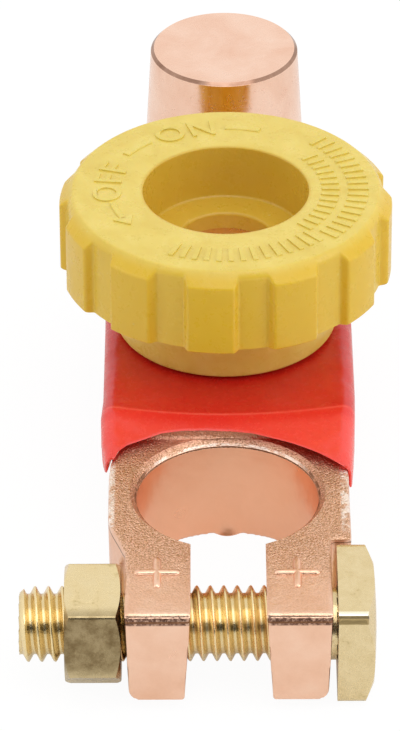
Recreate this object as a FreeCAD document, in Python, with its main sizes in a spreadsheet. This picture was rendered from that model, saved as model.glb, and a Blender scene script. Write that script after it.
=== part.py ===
import FreeCAD, Part
import math
import os

import Sketcher

# Battery disconnect switch: a battery post clamp and a spare battery post on two stacked copper tongues,
# kept apart by an insulating plate and joined by a contact washer that a screw knob presses down.
# Frame: origin on the axis of the clamp's bore, at the underside; X along the clamp bolt towards its head,
# Y from the clamp to the rear post, Z up. Millimetres and degrees.

SIZES = {
    # clamp casting
    "clamp_height": 12.7,
    "ring_back": 12.9,
    "ring_side_radius": 24.5,
    "ring_widest": 3.4,
    "bore_radius": 9.65,
    "bore_rim": 0.45,
    "post_taper": 0.0556,
    "slot_half_width": 3.93,
    "slot_draft": 3.6,
    "ear_half_width": 10.8,
    "ear_front": 22.4,
    "ring_draft": 2.2,
    "ear_root": 12.5,
    "ear_bottom": 1.45,
    "ear_draft": 2.0,
    "ear_corner": 1.3,
    "gate_stub_radius": 1.35,
    "gate_stub_reach": 0.65,
    "gate_stub_height": 0.8,
    "neck_inset": 1.0,
    "neck_front": 10.2,
    "neck_rise": 1.0,
    "neck_back": 14.8,
    # stacked tongues, whose half width the ring and the round base follow
    "tongue_half_width": 12.7,
    "casting_inset": 0.15,
    "clamp_tongue_thickness": 3.6,
    "plate_thickness": 1.0,
    "post_tongue_thickness": 3.5,
    "tongue_corner": 3.0,
    "tongue_overhang": 15.65,
    "lip_thickness": 0.9,
    "lip_clearance": 0.1,
    "seat_clearance": 0.05,
    # rear post
    "post_distance": 64.0,
    "post_top_radius": 8.45,
    "post_length": 17.95,
    "post_edge": 0.35,
    "base_edge": 0.5,
    "boss_radius": 8.4,
    "boss_depth": 4.0,
    # clamp bolt and nut
    "bolt_distance": 15.92,
    "bolt_depth": 5.75,
    "bolt_radius": 3.97,
    "bolt_tip": 21.9,
    "bolt_tip_chamfer": 0.7,
    "hole_clearance": 0.18,
    "thread_clearance": 0.05,
    "head_flats": 12.3,
    "head_thickness": 4.12,
    "head_gap": 0.56,
    "head_turn": 6.5,
    "head_corner": 1.05,
    "head_crown_angle": 24.0,
    "nut_flats": 11.95,
    "nut_thickness": 5.86,
    "nut_gap": 0.44,
    "nut_turn": 3.8,
    "nut_chamfer_angle": 30.0,
    "spotface_clearance": 0.35,
    # knob and contact
    "knob_distance": 30.85,
    "knob_radius": 18.35,
    "knob_top": 31.63,
    "knob_underside": 21.95,
    "knob_bevel": 1.5,
    "knob_lip": 0.35,
    "lobe_count": 12,
    "notch_angle": 12.0,
    "notch_depth": 1.0,
    "first_notch": 9.5,
    "collar_radius": 12.25,
    "collar_taper": 0.35,
    "collar_edge": 0.5,
    "sleeve_gap": 0.3,
    "recess_radius": 9.1,
    "recess_depth": 6.2,
    "recess_draft": 0.35,
    "recess_edge": 0.5,
    "well_radius": 5.17,
    "screw_radius": 5.0,
    "screw_tip_gap": 0.7,
    "screw_tip_chamfer": 0.8,
    "flange_radius": 9.7,
    "flange_thickness": 1.5,
    "screw_head_radius": 7.2,
    "screw_head_length": 3.9,
    "head_groove": 0.7,
    "spring_height": 1.5,
    "spring_thickness": 0.6,
    "washer_boss_radius": 8.4,
    "washer_boss": 2.0,
    "washer_rim_radius": 10.0,
    "washer_rim": 0.9,
    "collar_bore_radius": 10.3,
    "ring_thickness": 0.6,
    "ring_inner_radius": 9.0,
    "ring_groove": 0.65,
    "ring_gap_angle": 24.0,
    "bush_radius": 6.6,
    "bush_bore_radius": 5.35,
    "bush_shoulder_radius": 7.4,
    "bush_flats": 5.95,
    "bush_headroom": 0.2,
    # fastening of the tongues
    "rivet_spread": 10.6,
    "rivet_side": 8.6,
    "rivet_radius": 1.5,
    "rivet_head_radius": 2.8,
    "rivet_bush_wall": 0.7,
    # insulating sleeve
    "sleeve_side_wall": 1.35,
    "sleeve_top_wall": 0.86,
    "sleeve_floor_wall": 1.2,
    "sleeve_crease": 12.55,
    "sleeve_rear_gap": 0.45,
    "sleeve_lip_top": 10.2,
    "sleeve_lip_front": 6.0,
    "sleeve_lip_wall": 0.4,
    "sleeve_lip_depth": 4.2,
    "sleeve_arc_radius": 22.0,
    "sleeve_top_edge": 0.8,
    "sleeve_bottom_edge": 3.2,
    "window_radius": 10.7,
}

# Heights worked out from the driving sizes
NECK_TOP = "(sizes.clamp_height + sizes.neck_rise)"
BOLT_HEIGHT = "(sizes.clamp_height - sizes.bolt_depth)"
PLATE_TOP = f"({NECK_TOP} - sizes.clamp_tongue_thickness)"
PLATE_BOTTOM = f"({PLATE_TOP} - sizes.plate_thickness)"
TONGUE_BOTTOM = f"({PLATE_BOTTOM} - sizes.post_tongue_thickness)"
BOSS_BOTTOM = f"({TONGUE_BOTTOM} - sizes.boss_depth)"
SLEEVE_TOP = f"({NECK_TOP} + sizes.sleeve_top_wall)"
SLEEVE_BOTTOM = f"({TONGUE_BOTTOM} - sizes.sleeve_floor_wall)"
COLLAR_BOTTOM = f"({SLEEVE_TOP} + sizes.sleeve_gap)"
RIM_BOTTOM = f"({NECK_TOP} + sizes.washer_boss)"
RIM_TOP = f"({RIM_BOTTOM} + sizes.washer_rim)"
FLANGE_BOTTOM = f"({RIM_TOP} + sizes.spring_height)"
FLANGE_TOP = f"({FLANGE_BOTTOM} + sizes.flange_thickness)"
SCREW_TOP = f"({FLANGE_TOP} + sizes.screw_head_length)"
RECESS_FLOOR = "(sizes.knob_top - sizes.recess_depth)"
POST_TOP = "(sizes.clamp_height + sizes.post_length)"
POST_FOOT_RADIUS = "(sizes.post_top_radius + sizes.post_length * sizes.post_taper)"

# Distances along X and Y worked out from the driving sizes
RING_HALF_WIDTH = "(sizes.tongue_half_width - sizes.casting_inset)"
BASE_RADIUS = RING_HALF_WIDTH
NECK_HALF_WIDTH = "(sizes.tongue_half_width - sizes.neck_inset)"
TONGUE_FRONT = "(sizes.neck_back + sizes.lip_thickness + 2 * sizes.lip_clearance)"
TONGUE_REAR = "(sizes.knob_distance + sizes.tongue_overhang)"
POST_NECK_FRONT = f"({TONGUE_REAR} + sizes.lip_thickness + 2 * sizes.lip_clearance)"
SLEEVE_REAR = f"(sizes.post_distance - {BASE_RADIUS} - sizes.sleeve_rear_gap)"
SLEEVE_HALF_WIDTH = "(sizes.tongue_half_width + sizes.sleeve_side_wall)"
BOLT_HOLE_RADIUS = "(sizes.bolt_radius + sizes.hole_clearance)"
HEAD_INNER = "(sizes.ear_half_width + sizes.head_gap)"
NUT_INNER = "(sizes.ear_half_width + sizes.nut_gap)"

document = FreeCAD.newDocument("battery_disconnect_switch")
sheet = document.addObject("Spreadsheet::Sheet", "sizes")
for row, (alias, amount) in enumerate(SIZES.items(), start=1):
    sheet.set(f"A{row}", alias)
    sheet.set(f"B{row}", str(amount))
    sheet.setAlias(f"B{row}", alias)
document.recompute()


def number(expression):
    """Value of an expression in the sheet's sizes."""
    return float(sheet.evalExpression(expression))


def new_body(label, along_y=None, along_z=None):
    """Empty body at a place along Y and Z that follows the sheet."""
    body = document.addObject("PartDesign::Body", label)
    body.Label = label
    if along_y:
        body.setExpression("Placement.Base.y", along_y)
    if along_z:
        body.setExpression("Placement.Base.z", along_z)
    return body


def new_sketch(body, name, role, offset=None):
    """Sketch on one of the body's origin planes, raised along the plane's normal by offset."""
    sketch = body.newObject("Sketcher::SketchObject", f"{body.Label}_{name}")
    plane = [feature for feature in body.Origin.OriginFeatures if feature.Role == role][0]
    sketch.AttachmentSupport = [(plane, "")]
    sketch.MapMode = "FlatFace"
    if offset:
        sketch.setExpression("AttachmentOffset.Base.z", offset)
    return sketch


def fix_point(sketch, geometry, end, horizontal, vertical):
    """Hold one point of a sketch at distances from the origin that follow the sheet."""
    for kind, expression in (("DistanceX", horizontal), ("DistanceY", vertical)):
        index = sketch.addConstraint(
            Sketcher.Constraint(kind, -1, 1, geometry, end, number(expression)))
        sketch.setExpression(f"Constraints[{index}]", expression)


def arc_between(start, end, radius):
    """Arc from start to end, counter-clockwise for a positive radius and clockwise for a negative one."""
    chord = end - start
    middle = (start + end) * 0.5
    normal = FreeCAD.Vector(-chord.y, chord.x, 0).normalize()
    rise = math.sqrt(max(radius ** 2 - (chord.Length / 2) ** 2, 0))
    side = 1 if radius > 0 else -1
    sagitta = abs(radius) - rise
    return Part.Arc(start, middle - normal * sagitta * side, end)


def draw_outline(sketch, corners):
    """Closed outline. A corner is (horizontal, vertical), or has a third item: the signed radius of the arc
    that runs from it to the next corner."""
    places = [FreeCAD.Vector(number(corner[0]), number(corner[1]), 0) for corner in corners]
    count = len(corners)
    first = sketch.GeometryCount
    ends = []
    for index, corner in enumerate(corners):
        start, end = places[index], places[(index + 1) % count]
        if len(corner) == 3:
            radius = number(corner[2])
            sketch.addGeometry(arc_between(start, end, radius), False)
            ends.append((1, 2) if radius > 0 else (2, 1))
        else:
            sketch.addGeometry(Part.LineSegment(start, end), False)
            ends.append((1, 2))
    for index in range(count):
        following = (index + 1) % count
        sketch.addConstraint(Sketcher.Constraint(
            "Coincident", first + index, ends[index][1], first + following, ends[following][0]))
    for index, corner in enumerate(corners):
        fix_point(sketch, first + index, ends[index][0], corner[0], corner[1])
        if len(corner) == 3:
            size = f"abs({corner[2]})"
            held = sketch.addConstraint(
                Sketcher.Constraint("Radius", first + index, number(size)))
            sketch.setExpression(f"Constraints[{held}]", size)
    return sketch


def draw_box(sketch, left, right, low, high):
    """Rectangle between two horizontal and two vertical distances."""
    return draw_outline(sketch, [(left, low), (right, low), (right, high), (left, high)])


def draw_circle(sketch, horizontal, vertical, radius):
    """Circle whose centre and radius follow the sheet."""
    centre = FreeCAD.Vector(number(horizontal), number(vertical), 0)
    geometry = sketch.addGeometry(
        Part.Circle(centre, FreeCAD.Vector(0, 0, 1), number(radius)), False)
    fix_point(sketch, geometry, 3, horizontal, vertical)
    index = sketch.addConstraint(Sketcher.Constraint("Radius", geometry, number(radius)))
    sketch.setExpression(f"Constraints[{index}]", radius)
    return sketch


def add_feature(body, kind, sketch):
    """Feature of a body on its own sketch, named after the sketch."""
    feature = body.newObject(f"PartDesign::{kind}", f"{sketch.Name}_{kind.lower()}")
    feature.Profile = sketch
    return feature


def pad(body, sketch, length, downwards=False, both_ways=False, draft=None):
    """Extrude a sketch. A draft narrows it away from the sketch."""
    feature = add_feature(body, "Pad", sketch)
    feature.setExpression("Length", length)
    feature.Reversed = downwards
    feature.Midplane = both_ways
    if draft:
        feature.setExpression("TaperAngle", draft)
    document.recompute()
    return feature


def cut(body, sketch, length, upwards=False, both_ways=False, draft=None):
    """Cut a sketch's outline out of a body, against the sketch's normal unless upwards."""
    before = body.Shape.Volume
    feature = add_feature(body, "Pocket", sketch)
    feature.setExpression("Length", length)
    feature.Reversed = upwards
    feature.Midplane = both_ways
    if draft:
        feature.setExpression("TaperAngle", draft)
    document.recompute()
    require_less(feature, before, body.Shape.Volume)
    return feature


def require_less(feature, before, after):
    """Stop when a cut has taken nothing away."""
    if not after < before:
        raise RuntimeError(f"{feature.Name} cuts nothing")


def spin(body, kind, sketch, axis, angle="360"):
    """Revolution or groove of a sketch about one of its own axes."""
    feature = add_feature(body, kind, sketch)
    feature.ReferenceAxis = (sketch, [axis])
    feature.setExpression("Angle", angle)
    document.recompute()
    return feature


def turn(body, name, corners, angle="360"):
    """Revolve a half section (radius, height) about the body's vertical axis."""
    sketch = draw_outline(new_sketch(body, name, "XZ_Plane"), corners)
    return spin(body, "Revolution", sketch, "V_Axis", angle)


def turn_out(body, name, corners, axis="V_Axis"):
    """Cut a revolved half section out of a body."""
    before = body.Shape.Volume
    sketch = draw_outline(new_sketch(body, name, "XZ_Plane"), corners)
    feature = spin(body, "Groove", sketch, axis)
    require_less(feature, before, body.Shape.Volume)
    return feature


def sketch_beside(body, name, along_x, along_y, corners):
    """Half section (radius, height) drawn beside an upright axis that stands at a place of its own."""
    sketch = new_sketch(body, name, "XZ_Plane", f"-({along_y})")
    draw_outline(sketch, [(f"({along_x}) + ({corner[0]})", corner[1]) for corner in corners])
    foot, tip = corners[0][1], f"{corners[0][1]} + 5"
    line = sketch.addGeometry(Part.LineSegment(
        FreeCAD.Vector(number(along_x), number(foot), 0),
        FreeCAD.Vector(number(along_x), number(tip), 0)), True)
    fix_point(sketch, line, 1, along_x, foot)
    fix_point(sketch, line, 2, along_x, tip)
    return sketch


def dress(body, kind, name, size, chosen):
    """Fillet or chamfer the edges of the body's tip that pass the test chosen(edge)."""
    base = body.Tip
    names = [f"Edge{index}" for index, edge in enumerate(base.Shape.Edges, start=1) if chosen(edge)]
    if not names:
        raise RuntimeError(f"{body.Label}: no edge for {name}")
    feature = body.newObject(f"PartDesign::{kind}", f"{body.Label}_{name}")
    feature.Base = (base, names)
    feature.setExpression("Radius" if kind == "Fillet" else "Size", size)
    document.recompute()
    return feature


def is_line_along(edge, axis):
    """True for a straight edge along the given direction."""
    if edge.Curve.TypeId != "Part::GeomLine":
        return False
    return abs(edge.Curve.Direction.dot(axis)) > 0.999


def box_of(edge):
    """Centre of an edge's bounding box."""
    return edge.BoundBox.Center


ALONG_X = FreeCAD.Vector(1, 0, 0)
ALONG_Y = FreeCAD.Vector(0, 1, 0)
ALONG_Z = FreeCAD.Vector(0, 0, 1)
NEAR = 0.01


RIVET_PLACES = (
    ("front", "(-sizes.rivet_side)", "(sizes.knob_distance - sizes.rivet_spread)"),
    ("rear", "sizes.rivet_side", "(sizes.knob_distance + sizes.rivet_spread)"),
)


def drill_tongue(body, bottom, thickness, centre_radius, rivet_hole_radius):
    """Holes of a tongue: one for the contact screw and one for each rivet."""
    sketch = new_sketch(body, "screw_hole", "XY_Plane", bottom)
    draw_circle(sketch, "0", "sizes.knob_distance", centre_radius)
    cut(body, sketch, thickness, upwards=True)
    for name, along_x, along_y in RIVET_PLACES:
        sketch = new_sketch(body, f"{name}_rivet_hole", "XY_Plane", bottom)
        draw_circle(sketch, along_x, along_y, rivet_hole_radius)
        cut(body, sketch, thickness, upwards=True)


def sink_rivet_heads(body, face_height, shank_radius, head_radius, above):
    """Conical seats for the rivet heads in a tongue's outer face."""
    outward, inward = ("+", "-") if above else ("-", "+")
    for name, along_x, along_y in RIVET_PLACES:
        before = body.Shape.Volume
        sketch = sketch_beside(body, f"{name}_sink", along_x, along_y, [
            ("0", f"{face_height} {inward} ({head_radius} - {shank_radius})"),
            (shank_radius, f"{face_height} {inward} ({head_radius} - {shank_radius})"),
            (head_radius, face_height),
            (head_radius, f"{face_height} {outward} 1"),
            ("0", f"{face_height} {outward} 1"),
        ])
        feature = spin(body, "Groove", sketch, "Axis0")
        require_less(feature, before, body.Shape.Volume)


def make_clamp_terminal():
    """Cast clamp: ring with a tapered bore, slot and two drafted ears, and the upper tongue behind it."""
    body = new_body("clamp_terminal")
    wide, ears, neck = RING_HALF_WIDTH, "sizes.ear_half_width", NECK_HALF_WIDTH
    straight = "(-sizes.ring_widest)"
    sketch = draw_outline(new_sketch(body, "ring", "XY_Plane"), [
        (f"-{ears}", "-sizes.ear_root"),
        (wide, "-sizes.ear_root"),
        (wide, straight),
        (wide, "sizes.ring_widest"),
        (neck, "sizes.ring_widest + 5"),
        (neck, "sizes.ring_back"),
        (f"-{neck}", "sizes.ring_back"),
        (f"-{neck}", "sizes.ring_widest + 5"),
        (f"-{wide}", "sizes.ring_widest"),
        (f"-{wide}", straight, "sizes.ring_side_radius"),
    ])
    pad(body, sketch, "sizes.clamp_height", draft="-sizes.ring_draft")
    overlap = "(-sizes.ear_root + 2)"
    sketch = new_sketch(body, "ears", "XY_Plane", "sizes.clamp_height")
    draw_box(sketch, f"-{ears}", ears, "-sizes.ear_front", overlap)
    pad(body, sketch, "sizes.clamp_height - sizes.ear_bottom", downwards=True, draft="-sizes.ear_draft")
    sketch = new_sketch(body, "slot", "XY_Plane", "sizes.clamp_height")
    draw_box(sketch, "-sizes.slot_half_width", "sizes.slot_half_width", "-sizes.ear_front - 2", "-4")
    cut(body, sketch, "sizes.clamp_height", draft="sizes.slot_draft")
    sketch = new_sketch(body, "neck", "YZ_Plane")
    draw_box(sketch, "sizes.neck_front", "sizes.neck_back", TONGUE_BOTTOM, NECK_TOP)
    pad(body, sketch, f"2 * {neck}", both_ways=True)
    sketch = new_sketch(body, "tongue", "XY_Plane", PLATE_TOP)
    half = "sizes.tongue_half_width"
    draw_box(sketch, f"-{half}", half, "sizes.ring_back + 0.4", TONGUE_REAR)
    pad(body, sketch, "sizes.clamp_tongue_thickness")
    rear = number(TONGUE_REAR)
    dress(body, "Fillet", "tongue_corners", "sizes.tongue_corner",
          lambda edge: is_line_along(edge, ALONG_Z) and abs(box_of(edge).y - rear) < NEAR)
    root = number("sizes.ear_root")
    dress(body, "Fillet", "ear_corners", "sizes.ear_corner",
          lambda edge: box_of(edge).y < -root and abs(box_of(edge).z - number("sizes.ear_bottom")) < NEAR
          and is_line_along(edge, ALONG_Y))
    rim = "sizes.bore_rim"
    below = "(-1)"
    above = "(sizes.clamp_height + sizes.neck_rise + 1)"
    foot = f"(sizes.bore_radius + (sizes.clamp_height - {below}) * sizes.post_taper)"
    throat = f"(sizes.bore_radius + {rim} * sizes.post_taper)"
    turn_out(body, "bore", [
        ("0", below),
        (foot, below),
        (throat, f"sizes.clamp_height - {rim}"),
        (f"sizes.bore_radius + {rim}", "sizes.clamp_height"),
        (f"sizes.bore_radius + {rim}", above),
        ("0", above),
    ])
    stub = new_sketch(body, "gate_stub", "XY_Plane")
    bore_foot = "(sizes.bore_radius + sizes.clamp_height * sizes.post_taper)"
    draw_circle(stub, "0.4", f"{bore_foot} - sizes.gate_stub_reach + sizes.gate_stub_radius",
                "sizes.gate_stub_radius")
    pad(body, stub, "sizes.gate_stub_height")
    drill_tongue(body, PLATE_TOP, "sizes.clamp_tongue_thickness",
                 "sizes.bush_radius + sizes.seat_clearance",
                 "sizes.rivet_radius + sizes.rivet_bush_wall + 2 * sizes.seat_clearance")
    sink_rivet_heads(body, NECK_TOP, "(sizes.rivet_radius + sizes.rivet_bush_wall + 2 * sizes.seat_clearance)",
                     "(sizes.rivet_head_radius + sizes.rivet_bush_wall + 2 * sizes.seat_clearance)", above=True)
    bolt_hole = new_sketch(body, "bolt_hole", "YZ_Plane")
    draw_circle(bolt_hole, "-sizes.bolt_distance", BOLT_HEIGHT, BOLT_HOLE_RADIUS)
    cut(body, bolt_hole, f"4 * {ears}", both_ways=True)
    head_corner = "(sizes.head_flats * sqrt(2) / 2 + sizes.spotface_clearance)"
    nut_corner = "(sizes.nut_flats / sqrt(3) + sizes.spotface_clearance)"
    for name, side, corner in (("head_seat", "", head_corner), ("nut_seat", "-", nut_corner)):
        sketch = new_sketch(body, name, "YZ_Plane", f"{side}{ears}")
        draw_circle(sketch, "-sizes.bolt_distance", BOLT_HEIGHT, corner)
        cut(body, sketch, RING_HALF_WIDTH, upwards=not side)
    return body


def make_post_terminal():
    """Rear battery post on a round base, with the lower tongue and its threaded boss."""
    body = new_body("post_terminal")
    axis = "sizes.post_distance"
    edge = "sizes.base_edge"
    section = [
        (axis, "0"),
        (f"{axis} + {BASE_RADIUS} - {edge}", "0"),
        (f"{axis} + {BASE_RADIUS}", edge),
        (f"{axis} + {BASE_RADIUS}", f"sizes.clamp_height - {edge}"),
        (f"{axis} + {BASE_RADIUS} - {edge}", "sizes.clamp_height"),
        (f"{axis} + {POST_FOOT_RADIUS}", "sizes.clamp_height"),
        (f"{axis} + sizes.post_top_radius", f"{POST_TOP} - sizes.post_edge",),
        (f"{axis} + sizes.post_top_radius - sizes.post_edge", POST_TOP),
        (axis, POST_TOP),
    ]
    sketch = draw_outline(new_sketch(body, "post", "YZ_Plane"), section)
    spin(body, "Revolution", sketch, f"Edge{len(section)}")
    sketch = new_sketch(body, "neck", "YZ_Plane")
    draw_box(sketch, POST_NECK_FRONT, "sizes.post_distance - sizes.neck_front", TONGUE_BOTTOM, NECK_TOP)
    pad(body, sketch, f"2 * {NECK_HALF_WIDTH}", both_ways=True)
    half = "sizes.tongue_half_width"
    sketch = new_sketch(body, "tongue", "XY_Plane", TONGUE_BOTTOM)
    draw_box(sketch, f"-{half}", half, TONGUE_FRONT, f"{POST_NECK_FRONT} + 1")
    pad(body, sketch, "sizes.post_tongue_thickness")
    front = number(TONGUE_FRONT)
    dress(body, "Fillet", "tongue_corners", "sizes.tongue_corner",
          lambda edge: is_line_along(edge, ALONG_Z) and abs(box_of(edge).y - front) < NEAR)
    sketch = new_sketch(body, "boss", "XY_Plane", BOSS_BOTTOM)
    draw_circle(sketch, "0", "sizes.knob_distance", "sizes.boss_radius")
    pad(body, sketch, "sizes.boss_depth")
    drill_tongue(body, BOSS_BOTTOM, "sizes.boss_depth + sizes.post_tongue_thickness",
                 "sizes.screw_radius + sizes.thread_clearance", "sizes.rivet_radius + sizes.seat_clearance")
    sink_rivet_heads(body, TONGUE_BOTTOM, "(sizes.rivet_radius + sizes.seat_clearance)",
                     "(sizes.rivet_head_radius + sizes.seat_clearance)", above=False)
    return body


def make_insulating_plate():
    """Plate between the tongues, with a lip down at the clamp's neck and a lip up at the post's neck."""
    body = new_body("insulating_plate")
    clear = "sizes.lip_clearance"
    front = f"(sizes.neck_back + {clear})"
    lip_back = f"({front} + sizes.lip_thickness)"
    rear = f"({TONGUE_REAR} + {clear} + sizes.lip_thickness)"
    lip_front = f"({TONGUE_REAR} + {clear})"
    sketch = draw_outline(new_sketch(body, "side", "YZ_Plane"), [
        (front, f"{TONGUE_BOTTOM} + {clear}"),
        (lip_back, f"{TONGUE_BOTTOM} + {clear}"),
        (lip_back, PLATE_BOTTOM),
        (rear, PLATE_BOTTOM),
        (rear, f"{NECK_TOP} - {clear}"),
        (lip_front, f"{NECK_TOP} - {clear}"),
        (lip_front, PLATE_TOP),
        (front, PLATE_TOP),
    ])
    pad(body, sketch, f"2 * (sizes.tongue_half_width - {clear})", both_ways=True)
    drill_tongue(body, PLATE_BOTTOM, "sizes.plate_thickness",
                 "sizes.bush_shoulder_radius + sizes.seat_clearance", "sizes.rivet_radius + sizes.seat_clearance")
    return body


def make_insulating_bush():
    """Bush round the contact screw, with a shoulder under the clamp's tongue and two flats for the washer."""
    body = new_body("insulating_bush", along_y="sizes.knob_distance")
    top = f"{FLANGE_BOTTOM} - sizes.bush_headroom"
    turn(body, "section", [
        ("sizes.bush_bore_radius", PLATE_BOTTOM),
        ("sizes.bush_shoulder_radius", PLATE_BOTTOM),
        ("sizes.bush_shoulder_radius", PLATE_TOP),
        ("sizes.bush_radius", PLATE_TOP),
        ("sizes.bush_radius", top),
        ("sizes.bush_bore_radius", top),
    ])
    for name, left, right in (("left_flat", "-9", "-sizes.bush_flats"), ("right_flat", "sizes.bush_flats", "9")):
        sketch = new_sketch(body, name, "XY_Plane", f"{NECK_TOP}")
        draw_box(sketch, left, right, "-9", "9")
        cut(body, sketch, "9", upwards=True)
    return body


def turn_at_rivets(body, corners):
    """Revolve a half section at the front rivet's place and copy it to the rear one's, half a turn on."""
    body.AllowCompound = True
    sketch = sketch_beside(body, "section", "(-sizes.rivet_side)", "(-sizes.rivet_spread)", corners)
    feature = spin(body, "Revolution", sketch, "Axis0")
    repeat_round(body, feature, "2")


def repeat_round(body, feature, count):
    """Copies of a feature, evenly spaced round the body's upright axis."""
    pattern = body.newObject("PartDesign::PolarPattern", f"{body.Label}_copies")
    pattern.Originals = [feature]
    axis = [item for item in body.Origin.OriginFeatures if item.Role == "Z_Axis"][0]
    pattern.Axis = (axis, [""])
    pattern.Angle = 360
    pattern.setExpression("Occurrences", count)
    body.Tip = pattern
    document.recompute()
    return pattern


def make_rivets():
    """Two flush rivets through both tongues, on a diagonal."""
    body = new_body("tongue_rivets", along_y="sizes.knob_distance")
    depth = "(sizes.rivet_head_radius - sizes.rivet_radius)"
    turn_at_rivets(body, [
        ("0", TONGUE_BOTTOM),
        ("sizes.rivet_head_radius", TONGUE_BOTTOM),
        ("sizes.rivet_radius", f"{TONGUE_BOTTOM} + {depth}"),
        ("sizes.rivet_radius", f"{NECK_TOP} - {depth}"),
        ("sizes.rivet_head_radius", NECK_TOP),
        ("0", NECK_TOP),
    ])
    return body


def make_rivet_bushes():
    """Two flanged bushes that keep the rivets clear of the clamp's tongue."""
    body = new_body("rivet_bushes", along_y="sizes.knob_distance")
    bore = "(sizes.rivet_radius + sizes.seat_clearance)"
    outer = f"({bore} + sizes.rivet_bush_wall)"
    depth = "(sizes.rivet_head_radius - sizes.rivet_radius)"
    turn_at_rivets(body, [
        (bore, PLATE_TOP),
        (outer, PLATE_TOP),
        (outer, f"{NECK_TOP} - {depth}"),
        (f"{outer} + {depth}", NECK_TOP),
        (f"{bore} + {depth}", NECK_TOP),
        (bore, f"{NECK_TOP} - {depth}"),
    ])
    return body


def make_sleeve():
    """Moulded insulating sleeve: a tube round both tongues with a cup under the boss, a window for the
    contact washer, and a front edge that follows the clamp's ring."""
    body = new_body("insulating_sleeve")
    half = SLEEVE_HALF_WIDTH
    lip = f"({RING_HALF_WIDTH} + sizes.sleeve_lip_wall)"
    height = f"({SLEEVE_TOP} - {SLEEVE_BOTTOM})"
    sketch = draw_outline(new_sketch(body, "outside", "XY_Plane", SLEEVE_BOTTOM), [
        (f"-{lip}", "sizes.sleeve_lip_front"),
        (lip, "sizes.sleeve_lip_front"),
        (half, "sizes.sleeve_crease"),
        (half, SLEEVE_REAR),
        (f"-{half}", SLEEVE_REAR),
        (f"-{half}", "sizes.sleeve_crease"),
    ])
    pad(body, sketch, height)
    low, high, wide = number(SLEEVE_BOTTOM), number(SLEEVE_TOP), number(half)

    def is_side_edge(edge, level):
        centre = box_of(edge)
        return (is_line_along(edge, ALONG_Y) and abs(centre.z - level) < NEAR
                and abs(abs(centre.x) - wide) < NEAR)

    dress(body, "Fillet", "bottom_edges", "sizes.sleeve_bottom_edge", lambda edge: is_side_edge(edge, low))
    dress(body, "Fillet", "top_edges", "sizes.sleeve_top_edge", lambda edge: is_side_edge(edge, high))
    sketch = draw_outline(new_sketch(body, "front_slope", "YZ_Plane"), [
        ("sizes.sleeve_crease", SLEEVE_TOP),
        ("sizes.sleeve_lip_top", f"{NECK_TOP} + 0.1"),
        ("0", f"{NECK_TOP} - 3"),
        ("0", f"{SLEEVE_TOP} + 2"),
        ("sizes.sleeve_crease", f"{SLEEVE_TOP} + 2"),
    ])
    cut(body, sketch, f"4 * {half}", both_ways=True)
    cup_wall = "(sizes.boss_radius + sizes.seat_clearance + sizes.sleeve_floor_wall)"
    sketch = new_sketch(body, "cup", "XY_Plane", f"{BOSS_BOTTOM} - sizes.sleeve_floor_wall")
    draw_circle(sketch, "0", "sizes.knob_distance", cup_wall)
    pad(body, sketch, "sizes.boss_depth + sizes.sleeve_floor_wall")
    sketch = new_sketch(body, "cup_bore", "XY_Plane", BOSS_BOTTOM)
    draw_circle(sketch, "0", "sizes.knob_distance", "sizes.boss_radius + sizes.seat_clearance")
    cut(body, sketch, "sizes.boss_depth + 1", upwards=True)
    sketch = new_sketch(body, "cavity", "XZ_Plane")
    draw_box(sketch, "-sizes.tongue_half_width", "sizes.tongue_half_width", TONGUE_BOTTOM, NECK_TOP)
    cut(body, sketch, "4 * sizes.post_distance", both_ways=True)
    sketch = new_sketch(body, "ring_room", "XY_Plane")
    draw_box(sketch, f"-{RING_HALF_WIDTH} - sizes.seat_clearance", f"{RING_HALF_WIDTH} + sizes.seat_clearance", "-1",
             "sizes.ring_back + 0.1")
    cut(body, sketch, NECK_TOP, upwards=True)
    sketch = new_sketch(body, "lip_underside", "XY_Plane")
    draw_box(sketch, f"-{half} - 1", f"{half} + 1", "-1", "sizes.sleeve_crease")
    cut(body, sketch, f"{NECK_TOP} - sizes.sleeve_lip_depth", upwards=True)
    sketch = new_sketch(body, "front_arc", "XY_Plane")
    draw_circle(sketch, "0", "sizes.sleeve_lip_top - sizes.sleeve_arc_radius", "sizes.sleeve_arc_radius")
    cut(body, sketch, f"{SLEEVE_TOP} + 1", upwards=True)
    sketch = new_sketch(body, "window", "XY_Plane", NECK_TOP)
    draw_circle(sketch, "0", "sizes.knob_distance", "sizes.window_radius")
    cut(body, sketch, "sizes.sleeve_top_wall + 1", upwards=True)
    return body


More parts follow.
